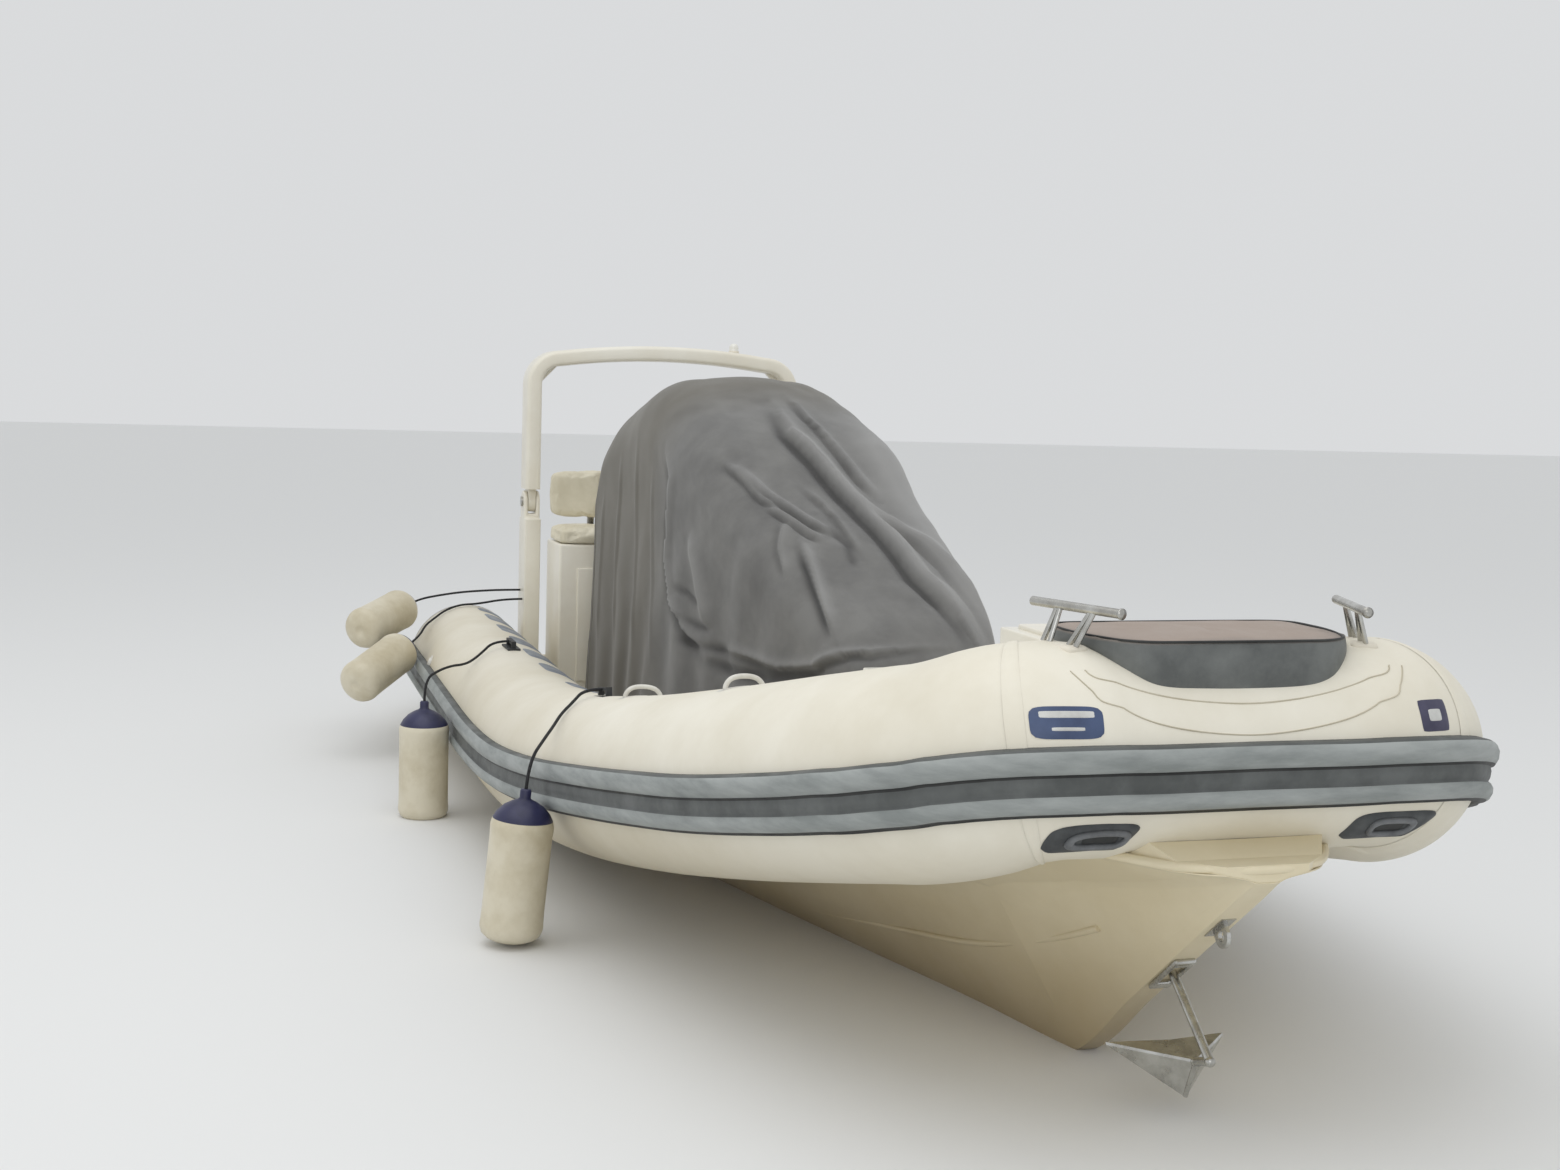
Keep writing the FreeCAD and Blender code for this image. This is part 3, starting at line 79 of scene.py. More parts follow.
# %% Ropes
ROPE = 0.012
ROPES = {
    "line_1": [
        (0.9800, -1.1338, 0.8360), (0.9800, -1.2038, 0.8360), (1.0400, -1.2584, 0.7986),
        (1.1200, -1.3175, 0.7701), (1.2150, -1.3627, 0.7431), (1.3200, -1.4092, 0.7254),
        (1.4330, -1.4894, 0.6594), (1.4330, -1.4984, 0.5598),
    ],
    "line_2": [
        (-1.0850, -1.1495, 0.7360), (-1.0850, -1.2245, 0.7360), (-1.0400, -1.2904, 0.6833),
        (-0.9800, -1.3523, 0.6518), (-0.9100, -1.4017, 0.6505), (-0.8350, -1.4520, 0.6587),
        (-0.7450, -1.5220, 0.6540), (-0.6270, -1.6060, 0.6300), (-0.6270, -1.6060, 0.5300),
    ],
    "line_3": [
        (-2.7600, -0.8000, 0.7450), (-2.7600, -0.9000, 0.7450), (-2.7550, -1.0553, 0.7181),
        (-2.7350, -1.1565, 0.7169), (-2.6900, -1.2482, 0.6899), (-2.6100, -1.3190, 0.6523),
        (-2.5100, -1.3748, 0.6325), (-2.3945, -1.4238, 0.5819), (-2.3184, -1.4825, 0.5541),
    ],
    "line_4": [
        (-2.8300, -0.8000, 0.7900), (-2.8300, -0.9100, 0.7900), (-2.8340, -1.0283, 0.7844),
        (-2.8400, -1.1365, 0.7761), (-2.8460, -1.2554, 0.7587), (-2.9021, -1.3664, 0.7294),
        (-2.8220, -1.4240, 0.7127),
    ],
}


def rope(name, points):
    curve = bpy.data.curves.new(name + "_rope", "CURVE")
    curve.dimensions = "3D"
    spline = curve.splines.new("NURBS")
    spline.points.add(len(points) - 1)
    for slot, point in zip(spline.points, points):
        slot.co = (*point, 1.0)
        slot.radius = ROPE / 2
    spline.order_u = 3
    spline.use_endpoint_u = True
    curve.bevel_depth = 1.0
    curve.bevel_resolution = 3
    curve.resolution_u = 14
    made = bpy.data.objects.new(name + "_rope", curve)
    scene.collection.objects.link(made)
    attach(made, "boat")
    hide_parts(name)
    return made


ropes = {name: rope(name, points) for name, points in ROPES.items()}
print("ropes", sorted(ropes))

# %% [markdown]
# ## Finishes
# Every surface gets a procedural finish. The colour could be one flat value, but real moulded
# and coated surfaces are patchy, so a slow noise on Object coordinates mixes two close tones,
# a second one varies the gloss, and a fine one gives the bump. Object coordinates are metres
# here, so each scale can be read as waves in a metre.

# %% A helper for finishes


def add_node(tree, kind, **settings):
    node = tree.nodes.new(kind)
    for key, value in settings.items():
        setattr(node, key, value)
    return node


def set_inputs(node, **values):
    for key, value in values.items():
        node.inputs[key.replace("_", " ")].default_value = value


def srgb(r, g, b):
    """A colour as it is seen in a picture, turned into the linear one that nodes take."""
    return tuple((c / 12.92 if c <= 0.04045 else ((c + 0.055) / 1.055) ** 2.4)
                 for c in (r / 255, g / 255, b / 255)) + (1.0,)


def finish(name, light, dark, patch=3.0, rough=(0.45, 0.6), metallic=0.0, grain=None,
           coat=0.0, sheen=0.0, stretch=(1, 1, 1), contrast=(0.35, 0.65)):
    """grain is (pattern, waves in a metre, height in metres)."""
    mat = bpy.data.materials.new(name)
    mat.use_nodes = True
    tree, link = mat.node_tree, mat.node_tree.links.new
    tree.nodes.clear()
    out = add_node(tree, "ShaderNodeOutputMaterial")
    skin = add_node(tree, "ShaderNodeBsdfPrincipled")
    skin.name = "Skin"
    link(skin.outputs[0], out.inputs["Surface"])
    where = add_node(tree, "ShaderNodeTexCoord")
    place = add_node(tree, "ShaderNodeMapping")
    place.inputs["Scale"].default_value = stretch
    link(where.outputs["Object"], place.inputs["Vector"])
    patches = add_node(tree, "ShaderNodeTexNoise")
    set_inputs(patches, Scale=patch, Detail=6.0, Roughness=0.62)
    link(place.outputs[0], patches.inputs["Vector"])
    tones = add_node(tree, "ShaderNodeValToRGB")
    tones.name = "Tones"
    tones.color_ramp.elements[0].position = contrast[0]
    tones.color_ramp.elements[0].color = dark
    tones.color_ramp.elements[1].position = contrast[1]
    tones.color_ramp.elements[1].color = light
    link(patches.outputs[0], tones.inputs[0])
    link(tones.outputs[0], skin.inputs["Base Color"])
    gloss = add_node(tree, "ShaderNodeMapRange")
    set_inputs(gloss, From_Min=0.3, From_Max=0.7, To_Min=rough[1], To_Max=rough[0])
    link(patches.outputs[0], gloss.inputs["Value"])
    link(gloss.outputs[0], skin.inputs["Roughness"])
    skin.inputs["Metallic"].default_value = metallic
    skin.inputs["Coat Weight"].default_value = coat
    skin.inputs["Sheen Weight"].default_value = sheen
    if grain:
        pattern, waves, height = grain
        kind = {"noise": "ShaderNodeTexNoise", "pebble": "ShaderNodeTexVoronoi",
                "weave": "ShaderNodeTexWave"}[pattern]
        fine = add_node(tree, kind)
        fine.inputs["Scale"].default_value = waves
        link(where.outputs["Object"], fine.inputs["Vector"])
        relief = add_node(tree, "ShaderNodeBump")
        relief.name = "Relief"
        set_inputs(relief, Strength=0.6, Distance=height)
        link(fine.outputs["Distance" if pattern == "pebble" else 0],
                       relief.inputs["Height"])
        link(relief.outputs[0], skin.inputs["Normal"])
    return mat


def tint(mat, axis, low, high, colour, share, wobble=0.0):
    """Mixes another colour in along one axis, between two heights, such as a painted reflection of the
    water.
    """
    tree, link = mat.node_tree, mat.node_tree.links.new
    skin = tree.nodes["Skin"]
    before = skin.inputs["Base Color"].links[0].from_socket
    where = add_node(tree, "ShaderNodeTexCoord")
    split = add_node(tree, "ShaderNodeSeparateXYZ")
    link(where.outputs["Object"], split.inputs[0])
    level = split.outputs["XYZ".index(axis)]
    if wobble:
        rough = add_node(tree, "ShaderNodeTexNoise")
        set_inputs(rough, Scale=2.5, Detail=5.0)
        link(where.outputs["Object"], rough.inputs["Vector"])
        push = add_node(tree, "ShaderNodeMath", operation="MULTIPLY_ADD")
        push.inputs[1].default_value = wobble
        link(rough.outputs[0], push.inputs[0])
        link(level, push.inputs[2])
        level = push.outputs[0]
    ramp = add_node(tree, "ShaderNodeMapRange")
    set_inputs(ramp, From_Min=low, From_Max=high, To_Min=0.0, To_Max=share)
    link(level, ramp.inputs["Value"])
    blend = add_node(tree, "ShaderNodeMix", data_type="RGBA")
    blend.inputs[7].default_value = colour
    link(ramp.outputs[0], blend.inputs[0])
    link(before, blend.inputs[6])
    link(blend.outputs[2], skin.inputs["Base Color"])
    return mat


# %% [markdown]
# The chambers are a coated cloth, ivory and a little grimy, the moulding under them a warm
# gelcoat. Both are painted darker low down, a painted reflection of dark water. Rubber,
# canvas, vinyl and bright metal follow.

# %% Finishes of the boat
FINISHES = {
    # light and dark tone, patches in a metre, least and most roughness, what else it has
    "tube_fabric": ((235, 230, 215), (220, 213, 194), 1.6, (0.42, 0.6),
                    dict(grain=("noise", 900, 0.0003), contrast=(0.25, 0.6))),
    "cone_rubber": ((232, 226, 212), (214, 206, 188), 3, (0.45, 0.6),
                    dict(grain=("noise", 900, 0.0003))),
    "strake_light": ((160, 164, 162), (132, 137, 135), 9, (0.5, 0.7),
                     dict(grain=("noise", 300, 0.0006), stretch=(0.4, 0.4, 2))),
    "strake_dark": ((98, 101, 100), (80, 83, 82), 7, (0.5, 0.7), {}),
    "strake_edge": ((52, 53, 52), (38, 39, 39), 7, (0.5, 0.7), {}),
    "gelcoat": ((230, 219, 190), (218, 205, 172), 1.6, (0.3, 0.5),
                dict(coat=0.3, grain=("noise", 500, 0.0002))),
    "deck_gelcoat": ((234, 230, 217), (226, 220, 204), 2.4, (0.3, 0.45), dict(coat=0.3)),
    "pad_vinyl": ((112, 115, 113), (90, 93, 92), 7, (0.5, 0.7), dict(grain=("pebble", 600, 0.0006))),
    "cover_canvas": ((112, 111, 108), (92, 91, 89), 3.2, (0.8, 0.95),
                     dict(sheen=0.25, grain=("noise", 1200, 0.0005))),
    "seat_vinyl": ((226, 219, 198), (208, 200, 176), 5, (0.35, 0.5),
                   dict(grain=("pebble", 700, 0.0004))),
    "stainless": ((206, 206, 202), (168, 166, 160), 14, (0.16, 0.34), dict(metallic=1.0)),
    "galvanised": ((186, 184, 178), (132, 126, 114), 12, (0.35, 0.6), dict(metallic=0.85)),
    "lamp_plastic": ((236, 234, 226), (214, 212, 204), 6, (0.2, 0.3), dict(coat=0.4)),
    "engine_bracket": ((62, 64, 66), (46, 48, 50), 8, (0.4, 0.55), {}),
    "engine_paint": ((58, 60, 63), (44, 46, 48), 5, (0.3, 0.45), dict(coat=0.4)),
    "cowl_paint": ((56, 58, 61), (44, 46, 49), 3, (0.22, 0.34), dict(coat=0.8)),
    "propeller_metal": ((70, 72, 74), (50, 52, 54), 9, (0.35, 0.5), dict(metallic=0.3)),
    "black_rubber": ((52, 53, 54), (38, 39, 40), 12, (0.5, 0.65), dict(grain=("noise", 500, 0.0005))),
    "fender_vinyl": ((216, 208, 186), (188, 176, 146), 4, (0.35, 0.55), dict(contrast=(0.28, 0.6))),
    "fender_blue": ((46, 47, 82), (34, 35, 62), 7, (0.35, 0.5), {}),
    "line_rope": ((44, 44, 46), (26, 26, 28), 120, (0.75, 0.9), dict(grain=("noise", 420, 0.0012))),
    "tread_grey": ((142, 148, 156), (116, 122, 130), 10, (0.45, 0.65),
                   dict(grain=("pebble", 160, 0.002))),
    "grab_white": ((226, 224, 216), (202, 198, 188), 9, (0.4, 0.5), {}),
    "label_blue": ((70, 86, 120), (58, 72, 104), 12, (0.35, 0.5), {}),
    "label_white": ((214, 214, 210), (190, 190, 186), 12, (0.35, 0.5), {}),
    "label_navy": ((74, 72, 96), (56, 54, 78), 12, (0.35, 0.5), {}),
    "handle_plate": ((76, 79, 80), (58, 60, 62), 14, (0.5, 0.65), {}),
    "painted_shade_line": ((196, 188, 168), (182, 173, 150), 9, (0.5, 0.6), {}),
    "handle_rubber": ((118, 120, 122), (88, 90, 92), 14, (0.5, 0.65), {}),
}
FINISH = {name: finish(name, srgb(*light), srgb(*dark), patch, rough, **more)
          for name, (light, dark, patch, rough, more) in FINISHES.items()}
FINISH["strake_rubber"] = FINISH["strake_light"]
# Painted reflection of dark water: the chambers darker and yellower towards the bottom
tint(FINISH["tube_fabric"], "Z", 0.90, 0.16, srgb(178, 163, 126), 0.72, 0.08)
# Painted reflection of dark water: the hull darker and browner towards the keel
tint(FINISH["gelcoat"], "Z", 0.72, 0.0, srgb(146, 125, 86), 0.92, 0.18)
tint(FINISH["pad_vinyl"], "Z", 1.372, 1.384, srgb(164, 148, 136), 0.9, 0.01)
print("finishes", len(FINISH))

# %% Painted shade: the canvas is browner towards the stern, darker in its hollows and lighter on its ridges
tint(FINISH["cover_canvas"], "X", -0.42, -0.80, srgb(94, 89, 77), 0.80, 0.10)


def hollows(mat, name, dark, light):
    """Paints shade into hollows and a highlight onto ridges, by a value kept at the mesh's points."""
    tree, link = mat.node_tree, mat.node_tree.links.new
    skin = tree.nodes["Skin"]
    before = skin.inputs["Base Color"].links[0].from_socket
    kept = add_node(tree, "ShaderNodeAttribute", attribute_name=name)
    for low, high, colour in ((0.0, -1.0, dark), (0.0, 1.0, light)):
        share = add_node(tree, "ShaderNodeMapRange")
        set_inputs(share, From_Min=low, From_Max=high, To_Min=0.0, To_Max=0.8)
        link(kept.outputs["Fac"], share.inputs["Value"])
        blend = add_node(tree, "ShaderNodeMix", data_type="RGBA")
        blend.inputs[7].default_value = colour
        link(share.outputs[0], blend.inputs[0])
        link(before, blend.inputs[6])
        before = blend.outputs[2]
    link(before, skin.inputs["Base Color"])


# Painted shade in the canvas's fold hollows and painted highlight on its fold ridges
hollows(FINISH["cover_canvas"], "Fold", srgb(50, 49, 48), srgb(142, 141, 139))

# %% Fixed pieces that keep their solid take their slot's finish
SLOT_OF = {row["node"]: row["material_slot"] for row in frame["record"]["subparts"]}


def dress(name, key):
    node = nodes[name]
    node.data.materials.clear()
    node.data.materials.append(FINISH[key])


for name in nodes:
    if name in SLOT_OF:
        dress(name, SLOT_OF[name])
print("dressed", len(SLOT_OF), "of", len(nodes))

# %% [markdown]
# ## A helper for new pieces
# Large soft shapes here start from a flat grid whose points are then moved to a place worked
# out from their two grid numbers, u and v. The other way is to extrude ring after ring. The
# grid is chosen because the same helper makes chambers, strake, cover and cushions.

# %% Helpers for meshes
SIDES = ((-1, "starboard"), (1, "port"))


def powered(value, power):
    """A value to a power with its sign kept, for ovals that are nearly boxes."""
    return math.copysign(abs(value) ** power, value)


def round_edges(bm, edges, radius, segments=3):
    bmesh.ops.bevel(bm, geom=edges, offset=radius, segments=segments, profile=0.5, affect="EDGES",
                    clamp_overlap=True, material=-1)


def evaluated(made):
    return made.evaluated_get(bpy.context.evaluated_depsgraph_get())


def add_piece(name, mesh, finishes, body="boat", slot=None, replaces=()):
    for key in finishes:
        mesh.materials.append(FINISH[key])
    mesh.shade_smooth()
    made = bpy.data.objects.new(name, mesh)
    scene.collection.objects.link(made)
    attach(made, body)
    slot or finishes[0]
    if replaces:
        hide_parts(*replaces)
    return made


def to_mesh(name, bm, outward=True):
    if outward:
        bmesh.ops.recalc_face_normals(bm, faces=bm.faces)
    mesh = bpy.data.meshes.new(name)
    bm.to_mesh(mesh)
    bm.free()
    return mesh


def moved_grid(nu, nv, place, weld=0.0, paint=None):
    """A grid of nu by nv panels whose points go to place(u, v), with u and v from 0 to 1."""
    bm = bmesh.new()
    layer = bm.loops.layers.uv.new("Along")
    bmesh.ops.create_grid(bm, x_segments=nu, y_segments=nv, size=0.5, calc_uvs=True)
    for face in bm.faces:
        middle = face.calc_center_median()
        if paint:
            face.material_index = paint(middle.x + 0.5, middle.y + 0.5)
    for vert in bm.verts:
        vert.co = place(vert.co.x + 0.5, vert.co.y + 0.5)
    if weld:
        bmesh.ops.remove_doubles(bm, verts=bm.verts, dist=weld)
    return bm


# %% [markdown]
# ## The air chambers
# The boat's collar is three chambers of coated cloth, blown hard. Their axis runs straight along
# the side, bends in while it rises, turns a corner and crosses the blunt bow. A curve with a bevel
# could make the tube, but its radius shrinks to the bow, so a grid is wrapped round the axis with
# its own frame at every station.

# %% The axis of the chambers


def side_station(angle):
    """The starboard axis along the side's oval; 0 is where the bend starts."""
    u = math.sin(math.radians(angle))
    v = math.cos(math.radians(angle))
    return Vector((3.797 * u, -1.156 * v ** 0.8, 0.399 + 0.717 * u ** 1.465))


def mirror_point(p):
    return Vector((p.x, -p.y, p.z))


HALF = [Vector((-2.850, -1.110, 0.399)), Vector((-1.425, -1.133, 0.399))]
HALF += [side_station(angle) for angle in (0, 14, 27, 40, 53)]
HALF += [Vector((3.272, -0.668, 0.968)), Vector((3.487, -0.526, 1.074)),
         Vector((3.470, -0.300, 1.050)), Vector((3.478, 0.0, 1.045))]
AXIS = HALF + [mirror_point(p) for p in reversed(HALF[:-1])]
CORNER, LAST = 8, len(AXIS) - 1


def between(rows, t):
    """A smooth value at t in a short table: 0 is its first row, 1 the next, and so on."""
    i = min(max(int(t), 0), len(rows) - 2)
    f = t - i
    b, h, a, y = (rows[min(max(k, 0), len(rows) - 1)] for k in (i - 1, i, i + 1, i + 2))
    return 0.5 * (2 * h + (a - b) * f + (2 * b - 5 * h + 4 * a - y) * f ** 2
                  + (3 * h - b - 3 * a + y) * f ** 3)


def axis_at(t):
    """The axis at t: straight runs between its stations, averaged so that they bend softly."""
    total = Vector((0, 0, 0))
    for k in range(-4, 5):
        at = t + k / 9
        i = min(max(int(at), 0), LAST - 1)
        total += AXIS[i].lerp(AXIS[i + 1], at - i)
    return total / 9


BOW_RADIUS, SIDE_RADIUS, SWELL_HALF_WIDTH = 0.272, 0.304, 0.600


def chamber_radius(y):
    swell = min(1.0, abs(y) / SWELL_HALF_WIDTH) ** 2
    return BOW_RADIUS + (SIDE_RADIUS - BOW_RADIUS) * swell


def station(t):
    """Centre, outward and upward direction of the axis at t, from 0 at the starboard stern."""
    centre = axis_at(t)
    along = (axis_at(min(t + 0.05, LAST)) - axis_at(max(t - 0.05, 0))).normalized()
    out = along.cross(Vector((0, 0, 1))).normalized()
    return centre, out, out.cross(along).normalized()


def on_chamber(t, around, lift=0.0):
    """A point on the chambers: around is in degrees, 0 outboard, 90 on top, 180 inboard."""
    centre, out, up = station(t)
    a = math.radians(around)
    return centre + (out * math.cos(a) + up * math.sin(a)) * (chamber_radius(centre.y) + lift)


# %% [markdown]
# Blown cloth isn't a perfect tube: it puckers beside its seams and is a little slack between
# them. Those are small pushes in and out on the same grid.

# %% Chambers


def chamber_skin(t, around):
    pucker = 0.0
    for seam in (0, CORNER, LAST - CORNER, LAST):
        pucker -= 0.0015 * math.exp(-((t - seam) / 0.10) ** 2)
    slack = 0.0012 * noise.noise(Vector((t * 2.1, around * 0.03, 3.0)))
    return on_chamber(t, around, pucker + slack)


def close_ends(bm):
    bmesh.ops.holes_fill(bm, edges=[e for e in bm.edges if e.is_boundary], sides=0)
    return bm


def chamber(name, first, last):
    bm = moved_grid(110, 120, lambda u, v: chamber_skin(first + (last - first) * u, 360 * v - 90),
                    weld=0.0004)
    return add_piece("chamber_" + name, to_mesh("chamber_" + name, close_ends(bm)), ["tube_fabric"],
                     replaces=["tube_" + name])


chambers = [chamber("starboard", 0, CORNER), chamber("bow", CORNER, LAST - CORNER),
            chamber("port", LAST - CORNER, LAST)]
print("chambers", [len(o.data.polygons) for o in chambers])

# %% [markdown]
# ## Patches on the chambers
# Seam tapes, stickers and treads are all thin pieces glued on the tube. Each could
# be modelled flat and shrink-wrapped. Here a patch is laid straight on the tube's own grid, with
# rounded corners and edges that come down to the cloth, so it can't float or sink.

# %% Patches


def metres_per_step(t, around):
    a, b = max(t - 0.05, 0), min(t + 0.05, LAST)
    return (on_chamber(b, around) - on_chamber(a, around)).length / (b - a)


def patch(name, t, around, length, height, lift, key, skew=0.0, corner=0.12, cells=(14, 8),
          slot=None):
    """A thin piece glued on the cloth: t and around are its middle, sizes are in metres."""
    step = metres_per_step(t, around)
    degree = math.degrees(1 / chamber_radius(axis_at(t).y))

    def place(u, v):
        a, b = 2 * u - 1, 2 * v - 1
        x = a * (1 - corner * abs(b) ** 6) * length / 2
        y = b * (1 - corner * abs(a) ** 6) * height / 2
        x += skew * y
        rim = max(abs(a), abs(b)) ** 10
        return on_chamber(t + x / step, around + y * degree, lift * (1 - rim) + 0.0004)

    return add_piece(name, to_mesh(name, moved_grid(*cells, place), outward=False), [key],
                     slot=slot or "tube_fabric")


def band(name, t, width, lift):
    """A seam tape right round the chamber."""
    step = metres_per_step(t, 45)

    def place(u, v):
        a = 2 * u - 1
        return on_chamber(t + a * width / 2 / step, 360 * v, lift * (1 - abs(a) ** 8) - 0.0002)

    return add_piece(name, to_mesh(name, moved_grid(6, 72, place, weld=0.0003)), ["tube_fabric"])


TAPES = [
    # name, place, width, lift
    ("stern_starboard", 0.05, 0.060, 0.0020), ("stern_port", LAST - 0.05, 0.060, 0.0020),
    ("bow_starboard", CORNER, 0.050, 0.0022), ("bow_port", LAST - CORNER, 0.050, 0.0022),
]
tapes = [band("tape_" + name, *row) for name, *row in TAPES]
stickers = [
    patch("sticker_field", 8.225, 25, 0.200, 0.086, 0.0016, "label_blue"),
    patch("sticker_bar_top", 8.225, 29, 0.170, 0.022, 0.0022, "label_white"),
    patch("sticker_bar_low", 8.225, 21.5, 0.110, 0.014, 0.0022, "label_white", cells=(10, 4)),
    patch("sticker_navy", 11.78, 24, 0.110, 0.088, 0.0016, "label_navy", corner=0.05),
    patch("sticker_mark", 11.78, 24, 0.052, 0.040, 0.0022, "label_white", corner=0.2),
]
TREADS = ((0.12, 0.16), (0.36, 0.30), (0.68, 0.30), (1.0, 0.30), (1.32, 0.30), (1.66, 0.30),
          (2.2, 0.26), (2.62, 0.26))
treads = [patch("tread_%d" % count, t, 114, long, 0.15, 0.0030, "tread_grey", cells=(20, 10))
          for count, (t, long) in enumerate(TREADS)]
print("tapes", len(tapes), "stickers", len(stickers), "treads", len(treads))

# %% [markdown]
# ## The rubbing strake
# A rubber moulding runs round the chambers at their widest: a broad light band with a black band
# of painted shadow under it, a dark hollow, a second light rib and dark edges. One profile,
# repeated at every station, is its real shape.
# Towards the bow it sags below the widest line, so the profile is turned down there.

# %% Strake
STRAKE = [
    # depth off the chamber, height, finish of the band that follows
    (-0.018, 0.089, 1), (0.010, 0.0885, 1), (0.020, 0.085, 0), (0.028, 0.079, 0), (0.036, 0.066, 0),
    # the black band under the upper rib, from height 0.028 down to 0.017, is painted shadow
    (0.038, 0.045, 0), (0.032, 0.028, 2), (0.023, 0.024, 2), (0.021, 0.017, 1), (0.025, 0.006, 1),
    (0.025, -0.012, 1),
    (0.021, -0.024, 1), (0.030, -0.029, 0), (0.038, -0.040, 0), (0.039, -0.055, 0), (0.034, -0.069, 0),
    (0.026, -0.076, 2), (0.012, -0.082, 2), (0.008, -0.089, 2), (-0.018, -0.089, 2), (-0.018, 0.089, 2),
]
ROWS = len(STRAKE) - 1
# How far it drops at every half station, from the stern to the middle of the bow.
DIP = (0, 0, 0, 0, 0, 0.002, 0.004, 0.008, 0.016, 0.028, 0.042, 0.048, 0.049, 0.041, 0.036, 0.041,
       0.027, 0.021, 0.016, 0.012, 0.010)


def strake_place(u, v):
    centre, out, up = station(LAST * u)
    radius = chamber_radius(centre.y)
    dip = -math.asin(max(0.0, between(DIP, min(u, 1 - u) * LAST * 2)) / radius)
    out, up = out * math.cos(dip) + up * math.sin(dip), up * math.cos(dip) - out * math.sin(dip)
    depth, rise, _ = STRAKE[min(int(v * ROWS + 0.5), ROWS)]
    return centre + out * (radius + depth) + up * rise


strake_bm = close_ends(moved_grid(300, ROWS, strake_place, weld=0.0003,
                                  paint=lambda u, v: STRAKE[min(int(v * ROWS), ROWS - 1)][2]))
strake = add_piece("strake", to_mesh("strake", strake_bm),
                   ["strake_light", "strake_dark", "strake_edge"], slot="strake_rubber",
                   replaces=["rubbing_strake"])
print("strake", len(strake.data.polygons))

# %% [markdown]
# ## Turned pieces
# Stern cones, fenders, valves and the lamp are round about an axis. A profile of points is spun
# once about it, as on a lathe, which is simpler and rounder than stacking cylinders.

# %% Lathe


def lathe(name, profile, foot, direction, finishes, steps=48, body="boat", slot=None, replaces=()):
    """profile rows are (radius, distance along direction, finish of the band that follows)."""
    bm = bmesh.new()
    rim = [bm.verts.new((max(r, 0.00005), 0, z)) for r, z, _ in profile]
    edges = [bm.edges.new(pair) for pair in zip(rim, rim[1:])]
    bmesh.ops.spin(bm, geom=rim + edges, cent=(0, 0, 0), axis=(0, 0, 1), angle=2 * math.pi,
                   steps=steps)
    bmesh.ops.remove_doubles(bm, verts=bm.verts, dist=0.0004)
    heights = [z for _, z, _ in profile]
    for face in bm.faces:
        middle = face.calc_center_median().z
        for row, (low, high) in enumerate(zip(heights, heights[1:])):
            if min(low, high) - 1e-5 <= middle <= max(low, high) + 1e-5:
                face.material_index = profile[row][2]
                break
    turn = Vector((0, 0, 1)).rotation_difference(Vector(direction).normalized()).to_matrix().to_4x4()
    bmesh.ops.transform(bm, matrix=Matrix.Translation(foot) @ turn, verts=bm.verts)
    return add_piece(name, to_mesh(name, bm), finishes, body=body, slot=slot, replaces=replaces)


CONE = [(0.304, 0.0, 0), (0.290, 0.08, 0), (0.150, 0.62, 0), (0.142, 0.66, 0), (0.136, 0.71, 0),
        (0.118, 0.735, 0), (0.06, 0.742, 0), (0.0, 0.743, 0)]
for side, name in SIDES:
    lathe("stern_cone_" + name, CONE, (-2.850, side * 1.110, 0.399), (-1, 0, 0), ["cone_rubber"],
          steps=96, replaces=["cone_" + name])

# %% [markdown]
# ## Fenders
# Each fender is a blown vinyl cylinder: a moulded eye, a dark blue domed end, a faint bead where
# the ends are welded on, and the white body, a little waisted in its middle.

# %% Fenders
FENDER = [
    # radius, distance below its top, finish: 0 white, 1 blue
    (0.0, -0.040, 1), (0.016, -0.040, 1), (0.020, -0.034, 1), (0.020, -0.008, 1), (0.026, -0.002, 1),
    (0.045, 0.006, 1), (0.072, 0.022, 1), (0.094, 0.045, 1), (0.107, 0.068, 0), (0.1115, 0.084, 0),
    (0.1125, 0.092, 0), (0.1120, 0.104, 0), (0.1105, 0.130, 0), (0.1105, 0.240, 0), (0.1105, 0.400, 0),
    (0.1118, 0.436, 0), (0.1128, 0.450, 0), (0.1115, 0.462, 0), (0.105, 0.480, 0), (0.090, 0.494, 0),
    (0.066, 0.505, 0), (0.040, 0.511, 0), (0.022, 0.512, 1), (0.018, 0.509, 1), (0.0, 0.507, 1),
]
FENDER_SET = {
    "fender_1": ((1.433, -1.502, 0.520), (0, -0.09, -0.996)),
    "fender_2": ((-0.627, -1.606, 0.490), (0, 0, -1)),
    "fender_3": ((-2.288, -1.506, 0.543), (0.763, -0.589, -0.279)),
    "fender_4": ((-2.790, -1.447, 0.706), (0.80, -0.575, -0.167)),
}
fenders = {}
for name, (top, down) in FENDER_SET.items():
    fenders[name] = lathe(name.replace("_", "_body_"), FENDER, top, down,
                          ["fender_vinyl", "fender_blue"], steps=64, slot="fender_vinyl",
                          replaces=[name])
print("fenders", sorted(fenders))

# %% [markdown]
# ## Soft-edged hard parts
# Moulded and welded parts never have knife edges. The solid's own mesh is copied, its triangles
# are merged into flat faces, and its sharp edges are rounded. Modelling each by hand would give
# the same result, only slower and less true to the frame.

# %% Rounded copies of hard pieces


def rounded(node, radius, key):
    bm = bmesh.new()
    bm.from_mesh(nodes[node].data)
    bmesh.ops.remove_doubles(bm, verts=bm.verts, dist=0.0001)
    bmesh.ops.dissolve_limit(bm, angle_limit=math.radians(1.0), verts=bm.verts, edges=bm.edges)
    sharp = [e for e in bm.edges if e.is_manifold and e.calc_face_angle(0) > math.radians(35)]
    round_edges(bm, sharp, radius)
    for face in bm.faces:
        face.material_index = 0
    made = add_piece(node + "_rounded", to_mesh(node + "_rounded", bm, outward=False), [key],
                     slot=SLOT_OF[node], replaces=[node])
    made.data.set_sharp_from_angle(angle=math.radians(35))
    return made


